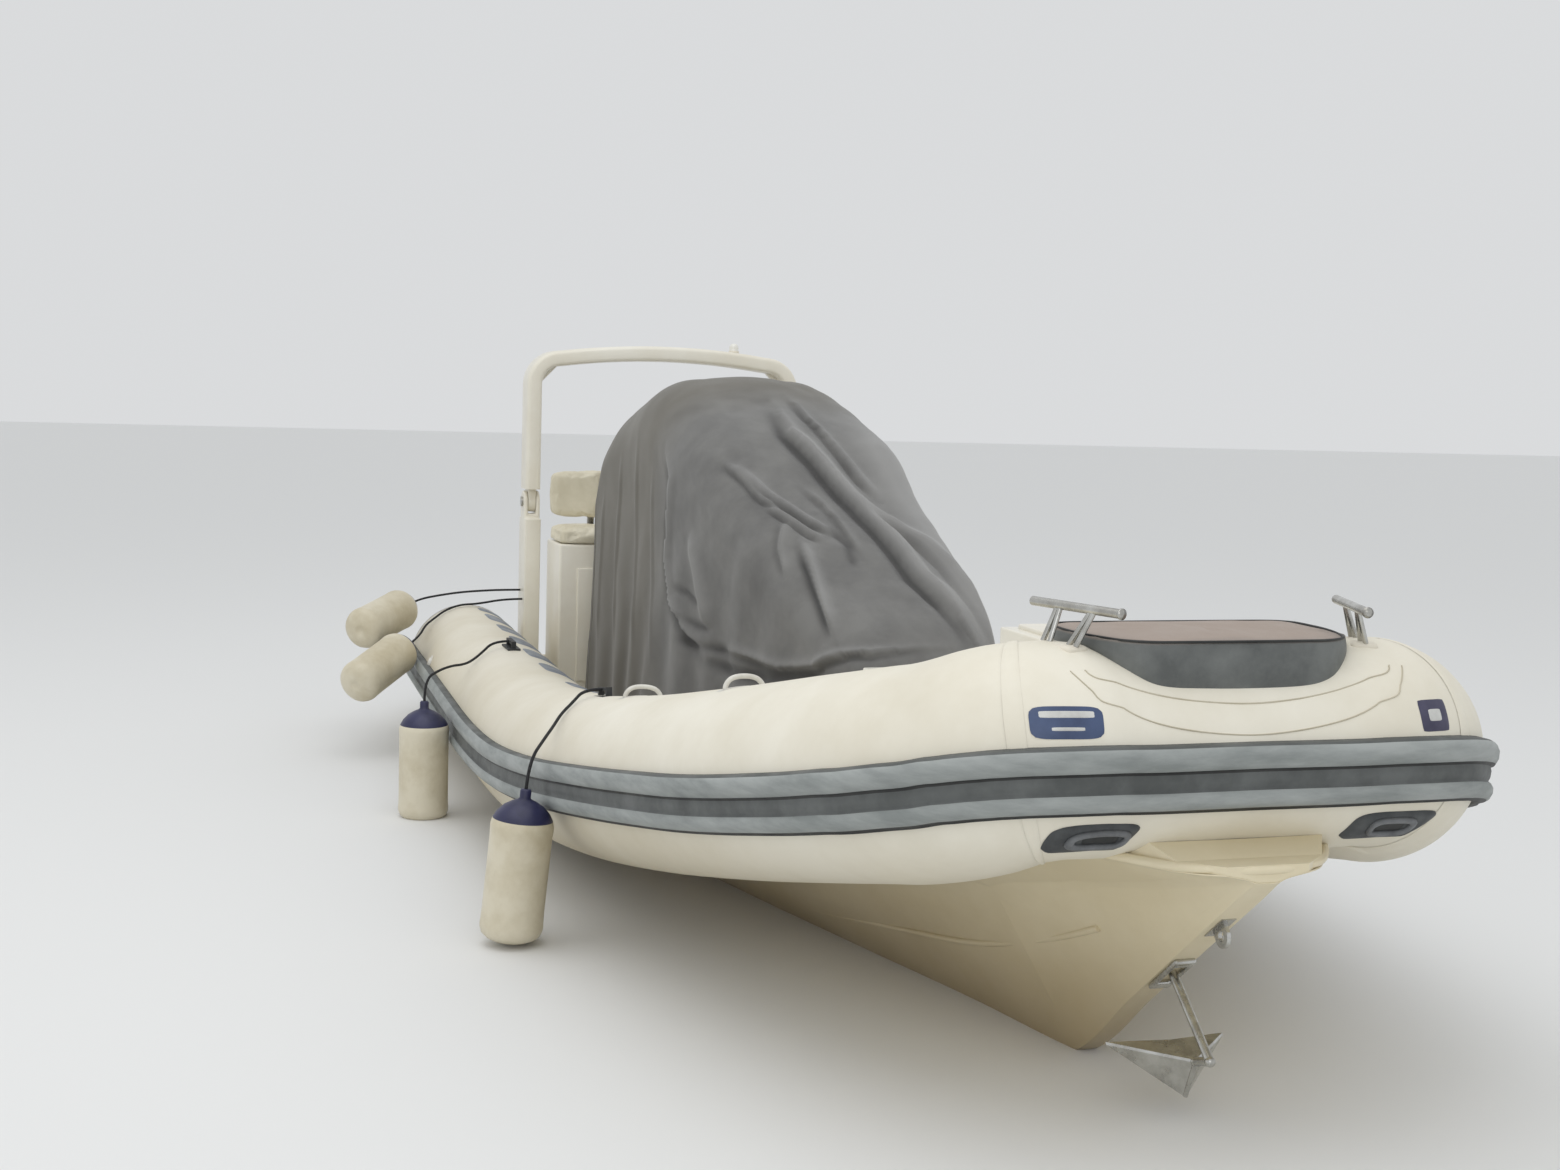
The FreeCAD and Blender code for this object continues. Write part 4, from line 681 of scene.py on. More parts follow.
HARD = [
    # node, edge radius, finish
    ("bow_locker", 0.016, "deck_gelcoat"), ("helm_seat_box", 0.014, "deck_gelcoat"),
    ("arch_foot_starboard", 0.009, "deck_gelcoat"), ("arch_foot_port", 0.009, "deck_gelcoat"),
    ("backrest_stay_starboard", 0.003, "stainless"), ("backrest_stay_port", 0.003, "stainless"),
    ("anchor_socket", 0.006, "stainless"), ("clamp_bracket", 0.004, "engine_bracket"),
]
hard_pieces = [rounded(*row) for row in HARD]
print("rounded", [(o.name, len(o.data.polygons)) for o in hard_pieces])

# %% [markdown]
# ## The hull's skin
# The moulding is a deep vee that flares to a blunt beak. Its solid is made of ruled panels, so a
# skin a few millimetres thick is laid over the outside, smooth along and across.

# %% Hull skin
OFFSETS = [
    # along, keel height, keel half breadth, chine half breadth, height, flange half breadth, height
    (-3.400, -0.400, 0.012, 0.900, -0.020, 0.975, 0.120),
    (-1.000, -0.410, 0.012, 0.920, 0.000, 1.005, 0.122),
    (0.000, -0.405, 0.012, 0.900, 0.091, 1.020, 0.127),
    (0.950, -0.375, 0.014, 0.840, 0.250, 0.925, 0.264),
    (1.700, -0.315, 0.018, 0.700, 0.398, 0.812, 0.430),
    (2.400, -0.165, 0.024, 0.480, 0.484, 0.713, 0.566),
    (2.868, 0.000, 0.030, 0.330, 0.520, 0.595, 0.675),
    (3.200, 0.268, 0.034, 0.220, 0.620, 0.474, 0.758),
    (3.500, 0.511, 0.036, 0.140, 0.692, 0.360, 0.792),
    (3.740, 0.705, 0.036, 0.090, 0.764, 0.215, 0.793),
    (3.828, 0.776, 0.030, 0.060, 0.787, 0.120, 0.799),
]


def hull_row(u):
    """The table's row at u, smooth forward of the middle and straight aft of it."""
    t = u * (len(OFFSETS) - 1)
    if t < 2:
        i = int(t)
        return [a + (b - a) * (t - i) for a, b in zip(OFFSETS[i], OFFSETS[i + 1])]
    return [between([row[k] for row in OFFSETS], t) for k in range(7)]


KEEL_SHARE = 0.04


def hull_place(u, v):
    x, keel, flat, chine_y, chine_z, edge_y, edge_z = hull_row(u)
    side, w = (-1, 1 - 2 * v) if v < 0.5 else (1, 2 * v - 1)
    if w < KEEL_SHARE:
        return Vector((x, side * flat * w / KEEL_SHARE, keel - 0.004))
    w = (w - KEEL_SHARE) / (1 - KEEL_SHARE)
    bend = max(0.0, min(1.0, (x - 1.2) / 1.2))
    k, f = (0, w * 2) if w < 0.5 else (1, w * 2 - 1)
    found = []
    for line in ([flat, chine_y, edge_y], [keel, chine_z, edge_z]):
        straight = line[k] * (1 - f) + line[k + 1] * f
        found.append(straight + (between(line, w * 2) - straight) * bend)
    return Vector((x, side * (found[0] + 0.004), found[1] - 0.003))


hull_bm = moved_grid(150, 96, hull_place)
hull_skin = add_piece("hull_skin", to_mesh("hull_skin", hull_bm), ["gelcoat"])
hull_skin.data.set_sharp_from_angle(angle=math.radians(24))
shell = hull_skin.modifiers.new("Thickness", "SOLIDIFY")
shell.thickness = 0.004
shell.offset = -1.0
print("hull skin", len(hull_skin.data.polygons))

# %% [markdown]
# A rounded lip closes the moulding under the bow chamber, and two spray rails run along its sides.

# %% Lip and rails


def bead(name, points, radius, key, body="boat", cyclic=False, kind="NURBS"):
    """A round bead or bar along a few points."""
    curve = bpy.data.curves.new(name, "CURVE")
    curve.dimensions = "3D"
    for run in points:
        spline = curve.splines.new(kind)
        spline.points.add(len(run) - 1)
        for place, point in zip(spline.points, run):
            place.co = (*point, 1.0)
            place.radius = radius
        if kind == "NURBS":
            spline.order_u = 3
            spline.use_endpoint_u = not cyclic
        spline.use_cyclic_u = cyclic
        spline.resolution_u = 8
    curve.bevel_depth = 1.0
    curve.bevel_resolution = 4
    curve.use_fill_caps = True
    made = bpy.data.objects.new(name, curve)
    scene.collection.objects.link(made)
    curve.materials.append(FINISH[key])
    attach(made, body)
    return made


lip = [(3.02, -0.548, 0.726), (3.2, -0.482, 0.765), (3.5, -0.366, 0.800), (3.70, -0.255, 0.804),
       (3.80, -0.150, 0.806), (3.832, 0.0, 0.808)]
bead("bow_lip", [lip + [(x, -y, z) for x, y, z in reversed(lip[:-1])]], 0.013, "gelcoat")
RAIL_SHARE = 0.62
for side, name in SIDES:
    rail = []
    for t in (0.10, 0.22, 0.34, 0.46, 0.58, 0.70):
        x, keel, flat, chine_y, chine_z, _, _ = hull_row(t)
        rail.append((x, side * (flat + (chine_y - flat) * RAIL_SHARE),
                     keel + (chine_z - keel) * RAIL_SHARE - 0.002))
    bead("spray_rail_" + name, [rail], 0.011, "gelcoat")

# %% [markdown]
# Two thin raised beads in a darker tone sweep under the pad like a smile: painted shade lines along the
# shading of the bow's dip.

# %% Painted shade lines
EDGES = {
    "high": [(8.35, 56), (8.44, 49.5), (8.92, 44.5), (9.5, 40.5), (10, 38.8)],
    "low": [(8.28, 55), (8.35, 43), (8.43, 35), (8.80, 28.5), (9.35, 23.5), (10, 20.5)],
}
for name, half in EDGES.items():
    run = half + [(LAST - t, around) for t, around in reversed(half[:-1])]
    steps = [between([Vector(row) for row in run], k / 8) for k in range((len(run) - 1) * 8 + 1)]
    bead("painted_shade_line_" + name, [[on_chamber(t, around, 0.0004) for t, around in steps]], 0.0019,
         "painted_shade_line")

# %% [markdown]
# ## The bow pad
# A crowned vinyl cushion sits over the front of the bow chamber, its skirt cut to the tube. The
# grid runs from the skirt up the sides and over the top; piping closes the two panels.

# %% Bow pad
PAD_X, PAD_HALF_LENGTH, PAD_HALF_WIDTH, PAD_TOP = 3.445, 0.208, 0.392, 1.376
SKIRT = 0.36
NEAR = [axis_at(7.6 + 0.04 * k) for k in range(121)]


def chamber_top(x, y):
    """Height of the chambers' skin over a point of the plan."""
    p = min(NEAR, key=lambda a: (a.x - x) ** 2 + (a.y - y) ** 2)
    gap = (p.x - x) ** 2 + (p.y - y) ** 2
    radius = chamber_radius(p.y)
    return p.z + math.sqrt(max(radius * radius - gap, 0.0))


def pad_rim(turn, shrink=0.0):
    """The pad's plan: a long box with rounded corners, narrower across its front."""
    c, s = math.cos(turn), math.sin(turn)
    x = PAD_X + (PAD_HALF_LENGTH - shrink) * powered(c, 0.26)
    wide = PAD_HALF_WIDTH - 0.088 * max(0.0, (x - 3.50) / 0.155) ** 1.3 - shrink
    pull = 0.007 * math.sin(2 * turn) ** 2
    return x, (wide - pull) * powered(s, 0.24)


def pad_place(u, v):
    turn = 2 * math.pi * u
    x, y = pad_rim(turn)
    foot = max(chamber_top(x, y) - 0.012, 1.162)
    if v < SKIRT:
        w = v / SKIRT
        bulge = 0.006 * math.sin(math.pi * w)
        ripple = 0.0012 * math.sin(9 * turn + 5 * w) * math.sin(math.pi * w)
        x, y = pad_rim(turn, -bulge - ripple)
        return Vector((x, y, foot + (PAD_TOP - foot) * w))
    w = (v - SKIRT) / (1 - SKIRT)
    reach = 1 - w
    x, y = PAD_X + (x - PAD_X) * reach, y * reach
    crown = 0.0095 * (1 - reach ** 3)
    edge = -0.006 * math.exp(-(w / 0.03) ** 2)
    sag = 0.0020 * noise.noise(Vector((x * 9, y * 9, 0.5)))
    channel = -0.004 * math.exp(-(y / 0.006) ** 2) * (1 - reach ** 8) if w > 0.02 else 0.0
    return Vector((x, y, PAD_TOP + crown + edge + sag + channel))


pad_bm = moved_grid(200, 60, pad_place, weld=0.0003)
pad = add_piece("pad_cushion", to_mesh("pad_cushion", pad_bm), ["pad_vinyl"], replaces=["bow_pad"])
piping = [(*pad_rim(2 * math.pi * k / 24, -0.001), 1.3755) for k in range(24)]
bead("pad_piping", [piping], 0.0035, "strake_edge", cyclic=True)
print("pad", len(pad.data.polygons))

# %% [markdown]
# ## The console cover
# A grey canvas is drawn over the console. It is one sheet: a hump, a long slope and the folds
# that the picture shows, worked in as soft ridges and hollows along short lines on its surface.

# %% Shape of the cover
COVER = [
    # share of the length, share of the width, share of the height, corner
    (0.000, 1.04, 0.760, 0.290), (0.040, 1.035, 0.885, 0.320), (0.135, 1.00, 0.965, 0.350),
    (0.250, 0.99, 1.000, 0.330), (0.360, 0.98, 0.955, 0.290), (0.490, 0.94, 0.860, 0.255),
    (0.665, 0.84, 0.695, 0.230), (0.805, 0.73, 0.580, 0.205), (0.945, 0.62, 0.450, 0.170),
    (1.000, 0.55, 0.330, 0.120),
]
FOOT, HIGH, AFT, FORE = 0.264, 2.024, -1.978, 1.590
FOLDS = [
    # height, half width, steep side (-1 right of the line as seen from outside), points along it
    (0.050, 0.055, -1, [(-0.55, -0.02, 1.90), (-0.20, -0.04, 1.77), (0.04, 0.02, 1.66),
        (0.39, 0.08, 1.50), (0.68, 0.12, 1.38), (0.98, 0.14, 1.25), (1.16, 0.19, 1.16),
        (1.50, 0.22, 0.95)]),
    (0.022, 0.030, -1, [(-0.65, 0.08, 1.94), (-0.39, 0.09, 1.84), (-0.12, 0.13, 1.73),
        (0.14, 0.17, 1.61), (0.32, 0.21, 1.53)]),
    (0.034, 0.045, -1, [(0.39, 0.10, 1.50), (0.61, 0.19, 1.40), (0.72, 0.25, 1.35),
        (0.90, 0.29, 1.26), (1.35, 0.30, 1.00)]),
    (0.022, 0.026, -1, [(-0.07, -0.39, 1.67), (0.11, -0.34, 1.60), (0.27, -0.31, 1.53),
        (0.38, -0.26, 1.49)]),
    (0.024, 0.026, -1, [(0.01, -0.34, 1.65), (0.23, -0.29, 1.56), (0.39, -0.22, 1.49),
        (0.53, -0.17, 1.44), (0.63, -0.11, 1.40)]),
    (0.022, 0.024, -1, [(0.33, -0.31, 1.50), (0.46, -0.26, 1.46), (0.60, -0.21, 1.41),
        (0.68, -0.17, 1.38)]),
    (0.014, 0.026, -1, [(0.20, -0.12, 1.58), (0.39, -0.07, 1.49), (0.61, -0.05, 1.40),
        (0.84, -0.05, 1.31)]),
    (0.034, 0.030, -1, [(0.65, -0.25, 1.38), (0.88, -0.27, 1.27), (1.08, -0.29, 1.17),
        (1.28, -0.30, 1.05)]),
    (0.016, 0.028, -1, [(0.47, -0.26, 1.45), (0.64, -0.34, 1.35), (0.82, -0.36, 1.24)]),
    (0.026, 0.055, 0, [(-0.16, -0.52, 1.35), (-0.01, -0.50, 1.16), (0.15, -0.49, 0.94)]),
    (-0.024, 0.020, 0, [(-0.36, -0.54, 0.96), (-0.08, -0.52, 0.94), (0.17, -0.49, 0.95)]),
    (-0.022, 0.020, 0, [(-0.34, -0.54, 0.85), (0.06, -0.51, 0.86), (0.39, -0.47, 0.89)]),
    (-0.018, 0.018, 0, [(-0.40, -0.54, 1.08), (-0.17, -0.52, 1.07), (-0.01, -0.51, 1.03)]),
    (0.020, 0.028, -1, [(0.20, -0.49, 0.88), (0.51, -0.46, 0.89), (0.87, -0.41, 0.89),
        (1.19, -0.37, 0.94), (1.33, -0.32, 1.00), (1.42, -0.22, 1.02), (1.43, 0.08, 1.04)]),
    (-0.026, 0.028, 0, [(0.07, -0.51, 0.80), (0.52, -0.46, 0.81), (1.01, -0.40, 0.86),
        (1.32, -0.34, 0.94)]),
    (0.012, 0.020, 0, [(-1.77, -0.56, 1.43), (-1.75, -0.57, 1.07), (-1.76, -0.58, 0.62)]),
    (0.013, 0.020, 0, [(-1.45, -0.54, 1.63), (-1.46, -0.55, 1.20), (-1.44, -0.56, 0.61)]),
    (0.013, 0.022, 0, [(-1.10, -0.54, 1.72), (-1.06, -0.55, 1.23), (-1.03, -0.56, 0.63)]),
    (0.012, 0.020, 0, [(-0.79, -0.54, 1.59), (-0.75, -0.55, 1.16), (-0.67, -0.56, 0.68)]),
    (0.026, 0.045, -1, [(-0.58, -0.53, 1.69), (-0.45, -0.53, 1.56), (-0.47, -0.54, 1.37),
        (-0.49, -0.54, 1.19), (-0.39, -0.54, 1.01), (-0.12, -0.52, 0.89), (0.14, -0.50, 0.83)]),
    (-0.014, 0.020, 0, [(0.58, -0.11, 1.42), (0.73, -0.08, 1.36), (0.92, -0.11, 1.28)]),
    (0.050, 0.130, 0, [(-0.60, 0.36, 1.86), (0.20, 0.36, 1.58), (0.80, 0.36, 1.30),
        (1.40, 0.34, 0.98)]),
]
FOLDS += [(height * 0.8, width, -steep, [(x + 0.12, -y, z) for x, y, z in run])
          for height, width, steep, run in FOLDS[9:13] + FOLDS[15:19]]


def cover_row(u):
    t = u * (len(COVER) - 1)
    share, wide, tall, corner = (between([row[k] for row in COVER], t) for k in range(4))
    return AFT + share * (FORE - AFT), wide * 0.540, FOOT + tall * (HIGH - FOOT), corner


def cover_ring(u, v):
    """A point of the section at u: v runs from the starboard foot over the top to the port one."""
    x, half, top, corner = cover_row(u)
    side, a = (-1, v * 2) if v < 0.5 else (1, 2 - v * 2)
    rise, arc, flat = top - corner - FOOT, corner * math.pi / 2, half - corner
    s = a * (rise + arc + flat)
    if s < rise:
        y, z = half + 0.03 * (1 - s / rise) ** 1.5, FOOT + s
    elif s < rise + arc:
        q = (s - rise) / corner
        y, z = half - corner * (1 - math.cos(q)), top - corner * (1 - math.sin(q))
    else:
        y, z = half - corner - (s - rise - arc), top + 0.020 * math.sin((s - rise - arc) / flat * 1.57)
    return Vector((x, side * y, z))


FOLD_LINES = [(height, width, steep, [Vector(point) for point in run])
              for height, width, steep, run in FOLDS]


def fold_push(p, normal):
    """How far the folds lift the sheet at p: each has a soft side, a steep one and a hollow."""
    push = 0.0
    for height, width, steep, run in FOLD_LINES:
        near, at, hand = 9.0, 0.0, 0.0
        for k, (a, b) in enumerate(zip(run, run[1:])):
            along = b - a
            f = max(0.0, min(1.0, (p - a).dot(along) / along.length_squared))
            away = p - a.lerp(b, f)
            if away.length < near:
                near, at, hand = away.length, (k + f) / (len(run) - 1), along.cross(away).dot(normal)
        if near > 3 * width:
            continue
        ends = max(0.12, min(1.0, 5 * at, 5 * (1 - at)))
        if steep and hand * steep > 0:
            lift = math.exp(-(near / (0.40 * width)) ** 2) * 1.5 - 0.5
            if near >= 0.8 * width:
                lift = -0.5 * math.exp(-((near - 0.8 * width) / (0.6 * width)) ** 2)
        else:
            lift = math.exp(-(near / width) ** 2)
        push += height * lift * ends
    return push


# %% [markdown]
# The two ends of the cover are drawn in to the foot, so the grid's first and last columns shrink
# to a point there. Small waves down the sides are the cloth's own slack.

# %% Cover


AFT_END, FORE_END = 0.10, 0.05


def cover_base(u, v):
    if u < AFT_END:
        k = u / AFT_END
        p = cover_ring(0, v)
        return Vector((p.x + 0.035 * k ** 6, p.y * k, FOOT + (p.z - FOOT) * k))
    if u > 1 - FORE_END:
        k = (1 - u) / FORE_END
        p = cover_ring(1, v)
        return Vector((p.x - 0.03 * k ** 4, p.y * k, FOOT + (p.z - FOOT) * k))
    return cover_ring((u - AFT_END) / (1 - AFT_END - FORE_END), v)


fold_kept = []


def cover_place(u, v):
    p = cover_base(u, v)
    fold_kept.append(0.0)
    step = 0.004
    du = cover_base(min(u + step, 1), v) - cover_base(max(u - step, 0), v)
    dv = cover_base(u, min(v + step, 1)) - cover_base(u, max(v - step, 0))
    normal = dv.cross(du)
    if normal.length < 1e-9 or u < 0.02 or u > 0.985:
        return p
    normal.normalize()
    if normal.dot(p - Vector((min(max(p.x, -1.6), 1.2), 0, 0.8))) < 0:
        normal.negate()
    low = max(0.0, min(1.0, (1.5 - p.z) / 0.9))
    wave = 0.010 * low * math.sin(p.x * 17 + 2.2 * noise.noise(p * 1.3))
    wave *= 1 if abs(p.y) > 0.3 else 0.3
    slack = 0.012 * noise.noise(Vector((p.x * 2.3, p.y * 2.3, p.z * 1.2 + 7)))
    crumple = 0.003 * noise.noise(Vector((p.x * 9, p.y * 9, p.z * 6)))
    hem = 0.5 if p.z < FOOT + 0.05 else 1.0
    fold = fold_push(p, normal)
    # The fold's height is kept at each point to paint shade and highlight on the canvas.
    fold_kept[-1] = (fold + 0.3 * wave) / (0.040 if fold > 0 else 0.016)
    return p + normal * ((wave + slack + crumple) * hem + fold - 0.004)


cells = ((330, 290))
cover_bm = moved_grid(*cells, cover_place)
layer = cover_bm.verts.layers.float.new("Fold")
for vert, value in zip(cover_bm.verts, fold_kept):
    vert[layer] = value
bmesh.ops.remove_doubles(cover_bm, verts=cover_bm.verts, dist=0.0005)
cover_area = sum(face.calc_area() for face in cover_bm.faces)
cover = add_piece("canvas_cover", to_mesh("canvas_cover", cover_bm), ["cover_canvas"],
                  replaces=["console_cover"])
print("cover", len(cover.data.polygons), "faces", round(cover_area, 2), "square metres")

# %% [markdown]
# A hem with its drawcord runs along the foot on both sides.

# %% Hem

hem_run = [cover_place(0.10 + 0.85 * k / 22, 0.0) + Vector((0, 0, 0.012)) for k in range(23)]
hem = bead("cover_hem", [hem_run, [mirror_point(p) for p in hem_run]], 0.009, "strake_dark")

# %% [markdown]
# ## Helm seat
# The seat is a box with a crowned cushion, and a backrest on two stays. Each cushion starts as a
# rounded box whose sides pull in between its corners. Its crown could be written as a formula, but
# cloth blown up by a little pressure swells more truly, held by its base and its sewn channels.
# It is left out while trying things, because it takes a while.

# %% Cushions


def cushion(name, low, high, crown, power, replaces):
    low, high = Vector(low), Vector(high)
    middle, half = (low + high) / 2, (high - low) / 2
    lying, pull = half.z < half.x, 0.02
    bm = bmesh.new()
    bmesh.ops.create_cube(bm, size=2)
    bmesh.ops.subdivide_edges(bm, edges=bm.edges, cuts=44, use_grid_fill=True)
    for vert in bm.verts:
        c = vert.co / sum(abs(k) ** power for k in vert.co) ** (1 / power)
        across = 1 - pull * (1 - c.y * c.y) * abs(c.x) - pull * (1 - c.z * c.z) * abs(c.x) * 0.6
        p = Vector((c.x * across * half.x, c.y * (1 - pull * 0.5 * (1 - c.x * c.x)) * half.y,
                    c.z * half.z))
        if lying:
            p.z += crown * (1 - c.x ** 4) * (1 - c.y ** 6) * max(c.z, 0.0)
        else:
            p.x += crown * (1 - c.z ** 4) * (1 - c.y ** 6) * c.x
        vert.co = middle + p
    return add_piece(name, to_mesh(name, bm), ["seat_vinyl"], replaces=replaces)


VOXEL, PRESSURE, FRAMES = 0.006, 2.5, 20


def blow_up(made, held, cap):
    """Swells a cushion as cloth. Points that held(place) names stay, none moves past cap."""
    remesh = made.modifiers.new("Voxels", "REMESH")
    remesh.mode = "VOXEL"
    remesh.voxel_size = VOXEL
    bpy.context.view_layer.update()
    mesh = bpy.data.meshes.new_from_object(evaluated(made))
    made.modifiers.remove(remesh)
    mesh.materials.clear()
    mesh.materials.append(made.data.materials[0])
    made.data = mesh
    start = [v.co.copy() for v in mesh.vertices]
    group = made.vertex_groups.new(name="Held")
    group.add([k for k, co in enumerate(start) if held(co)], 1.0, "REPLACE")
    cloth = made.modifiers.new("Cloth", "CLOTH")
    cloth.settings.quality = 4
    cloth.settings.use_pressure = True
    cloth.settings.uniform_pressure_force = PRESSURE
    cloth.settings.vertex_group_mass = "Held"
    cloth.settings.effector_weights.gravity = 0
    cloth.collision_settings.use_collision = False
    cloth.point_cache.frame_start, cloth.point_cache.frame_end = 1, FRAMES
    for step in range(1, FRAMES + 1):
        scene.frame_set(step)
    swollen = evaluated(made).to_mesh()
    moves = [v.co - co for v, co in zip(swollen.vertices, start)]
    evaluated(made).to_mesh_clear()
    made.modifiers.remove(cloth)
    made.vertex_groups.remove(group)
    scene.frame_set(1)
    for vert, co, move in zip(mesh.vertices, start, moves):
        vert.co = co + move * min(1.0, cap / max(move.length, 1e-9))
    mesh.shade_smooth()
    most = max(move.length for move in moves)
    print(made.name, len(moves), "points, moved", round(most * 1000, 1), "mm before the cap")


def sew(made, low, high, axis, depth):
    """Draws the cloth in along each channel, on the faces that look along one axis."""
    k = "XYZ".index(axis)
    other = 2 - k
    middle, half = (low[k] + high[k]) / 2, (high[other] - low[other]) / 2
    centre = (low[other] + high[other]) / 2
    for vert in made.data.vertices:
        near = sum(math.exp(-((vert.co.y - y) / 0.009) ** 2) for y in CHANNELS)
        edge = max(0.0, 1 - abs((vert.co[other] - centre) / half) ** 8)
        vert.co[k] -= math.copysign(depth * near * edge, vert.co[k] - middle)


CHANNELS = (-0.42, -0.14, 0.14, 0.42)


def in_channel(p):
    return min(abs(p.y - y) for y in CHANNELS) < 0.006


SEAT = ((-2.548, -0.698, 1.1115), (-2.172, 0.698, 1.186))
BACK = ((-2.571, -0.698, 1.232), (-2.499, 0.698, 1.493))
seat = cushion("seat_pad", *SEAT, 0.006, 12, ["seat_cushion"])
back = cushion("back_pad", *BACK, 0.002, 10, ["seat_backrest"])
blow_up(seat, lambda p: p.z < 1.118 or in_channel(p), 0.011)
blow_up(back, in_channel, 0.007)
sew(seat, *SEAT, "Z", 0.007)
sew(back, *BACK, "X", 0.005)
print("cushions", len(seat.data.polygons), len(back.data.polygons))

# %% [markdown]
# ## The arch
# A moulded hoop of flattened section folds on two pins. Its section, a rounded rectangle, is
# carried up one leg, round the corner, over the crowned beam and down the other leg.

# %% Arch hoop
LEG_Y, LEG_FOOT, BEAM_Z, BEND = 0.755, 1.374, 2.115, 0.1475
ARCH_X, PIN_Z, HALF_THICK, HALF_DEEP = -2.8, 1.300, 0.0445, 0.0990


def hoop_point(s):
    """The section's middle and outward direction at s: -1 starboard foot, 0 crown, 1 port foot."""
    side, a = (-1, 1 + s) if s < 0 else (1, 1 - s)
    rise, arc, beam = BEAM_Z - BEND - LEG_FOOT, BEND * math.pi / 2, LEG_Y - BEND
    d = a * (rise + arc + beam)
    if d < rise:
        return Vector((0, side * LEG_Y, LEG_FOOT + d)), Vector((0, side, 0))
    if d < rise + arc:
        q = (d - rise) / BEND
        out = Vector((0, side * math.cos(q), math.sin(q)))
        return Vector((0, side * (LEG_Y - BEND), BEAM_Z - BEND)) + out * BEND, out
    y = beam - (d - rise - arc)
    middle = Vector((0, side * y, BEAM_Z + 0.044 * (1 - (y / beam) ** 2)))
    return middle, Vector((0, side * 0.10 * y, 1)).normalized()


def hoop_place(u, v):
    middle, out = hoop_point(2 * u - 1)
    q = 2 * math.pi * v
    thick, deep = HALF_THICK * powered(math.cos(q), 0.42), HALF_DEEP * powered(math.sin(q), 0.42)
    return middle + out * thick + Vector((ARCH_X + deep, 0, 0))


hoop_bm = close_ends(moved_grid(120, 48, hoop_place, weld=0.0003))
TONGUE_THICK, TONGUE_RADIUS = 0.043, 0.057
for side in (-1, 1):
    tongue = bmesh.new()
    bmesh.ops.create_cone(tongue, cap_ends=True, segments=48, radius1=TONGUE_RADIUS,
                          radius2=TONGUE_RADIUS, depth=TONGUE_THICK)
    bmesh.ops.transform(tongue, matrix=Matrix.Translation((ARCH_X, side * LEG_Y, PIN_Z))
                        @ Matrix.Rotation(math.pi / 2, 4, "X"), verts=tongue.verts)
    neck = bmesh.ops.create_cube(tongue, size=1)["verts"]
    bmesh.ops.scale(tongue, vec=(0.112, TONGUE_THICK, 0.085), verts=neck)
    bmesh.ops.translate(tongue, vec=(ARCH_X, side * LEG_Y, 1.340), verts=neck)
    round_edges(tongue, [e for e in tongue.edges if e.calc_face_angle(0) > 0.6], 0.004, 2)
    part = bpy.data.meshes.new("tongue")
    tongue.to_mesh(part)
    tongue.free()
    hoop_bm.from_mesh(part)
    bpy.data.meshes.remove(part)
hoop = add_piece("arch_moulding", to_mesh("arch_moulding", hoop_bm), ["deck_gelcoat"], body="arch",
                 replaces=["arch_hoop"])
hoop.data.set_sharp_from_angle(angle=math.radians(40))
for side, name in SIDES:
    web = bmesh.new()
    corners = [(ARCH_X, side * y, z) for y, z in ((0.712, 2.075), (0.712, 1.975), (0.612, 2.078))]
    flat = web.faces.new([web.verts.new(c) for c in corners])
    for vert in bmesh.ops.extrude_face_region(web, geom=[flat])["geom"]:
        if isinstance(vert, bmesh.types.BMVert):
            vert.co.x += 0.05
    bmesh.ops.translate(web, vec=(-0.025, 0, 0), verts=web.verts)
    round_edges(web, web.edges[:], 0.008)
    add_piece("arch_gusset_" + name, to_mesh("gusset", web), ["deck_gelcoat"], body="arch")
DOME = [(0.0, 0.0, 1), (0.030, 0.0, 1), (0.031, 0.004, 1), (0.030, 0.012, 1), (0.0265, 0.014, 0),
        (0.027, 0.030, 0), (0.024, 0.044, 0), (0.016, 0.053, 0), (0.0, 0.056, 0)]
lathe("arch_lamp", DOME, (ARCH_X, 0.425, 2.180), (0, 0, 1), ["lamp_plastic", "cone_rubber"],
      body="arch", slot="lamp_plastic", replaces=["arch_light"])
print("arch", len(hoop.data.polygons))

# %% [markdown]
# ## Bow handles
# Two moulded rubber handles are glued under the strake: a slanted plate with a raised oval grip,
# and a dark patch on the plate inside the grip that paints the shade under it.

# %% Handles


def ring_on_chamber(name, t, around, long, high, thick, lift, key, skew):
    step = metres_per_step(t, around)
    degree = math.degrees(1 / chamber_radius(axis_at(t).y))

    def place(u, v):
        q, w = 2 * math.pi * u, 2 * math.pi * v
        reach = 1 + math.cos(w) * thick / (high / 2)
        x = powered(math.cos(q), 0.6) * (long / 2 + math.cos(w) * thick)
        y = powered(math.sin(q), 0.7) * high / 2 * reach
        return on_chamber(t + (x + skew * y) / step, around + y * degree, lift + math.sin(w) * thick)

    return add_piece(name, to_mesh(name, moved_grid(64, 12, place, weld=0.0002)), [key],
                     slot="black_rubber")


HANDLE_AT, LEAN = 8.49, 0.42
for t, name in ((HANDLE_AT, "starboard"), (LAST - HANDLE_AT, "port")):
    plate = patch("handle_plate_" + name, t, -40, 0.250, 0.108, 0.011, "handle_plate", skew=LEAN,
                  corner=0.14, cells=(28, 16), slot="black_rubber")
    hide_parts("handle_" + name)
    ring_on_chamber("handle_grip_" + name, t + 0.03, -38.5, 0.140, 0.052, 0.0085, 0.014,
                    "handle_rubber", LEAN * 0.7)
    # A dark patch inside the grip: painted shade under the grip
    patch("handle_opening_shade_" + name, t + 0.03, -38.5, 0.122, 0.040, 0.0124, "strake_edge", corner=0.3,
          cells=(12, 8), slot="black_rubber")
print("handles made")

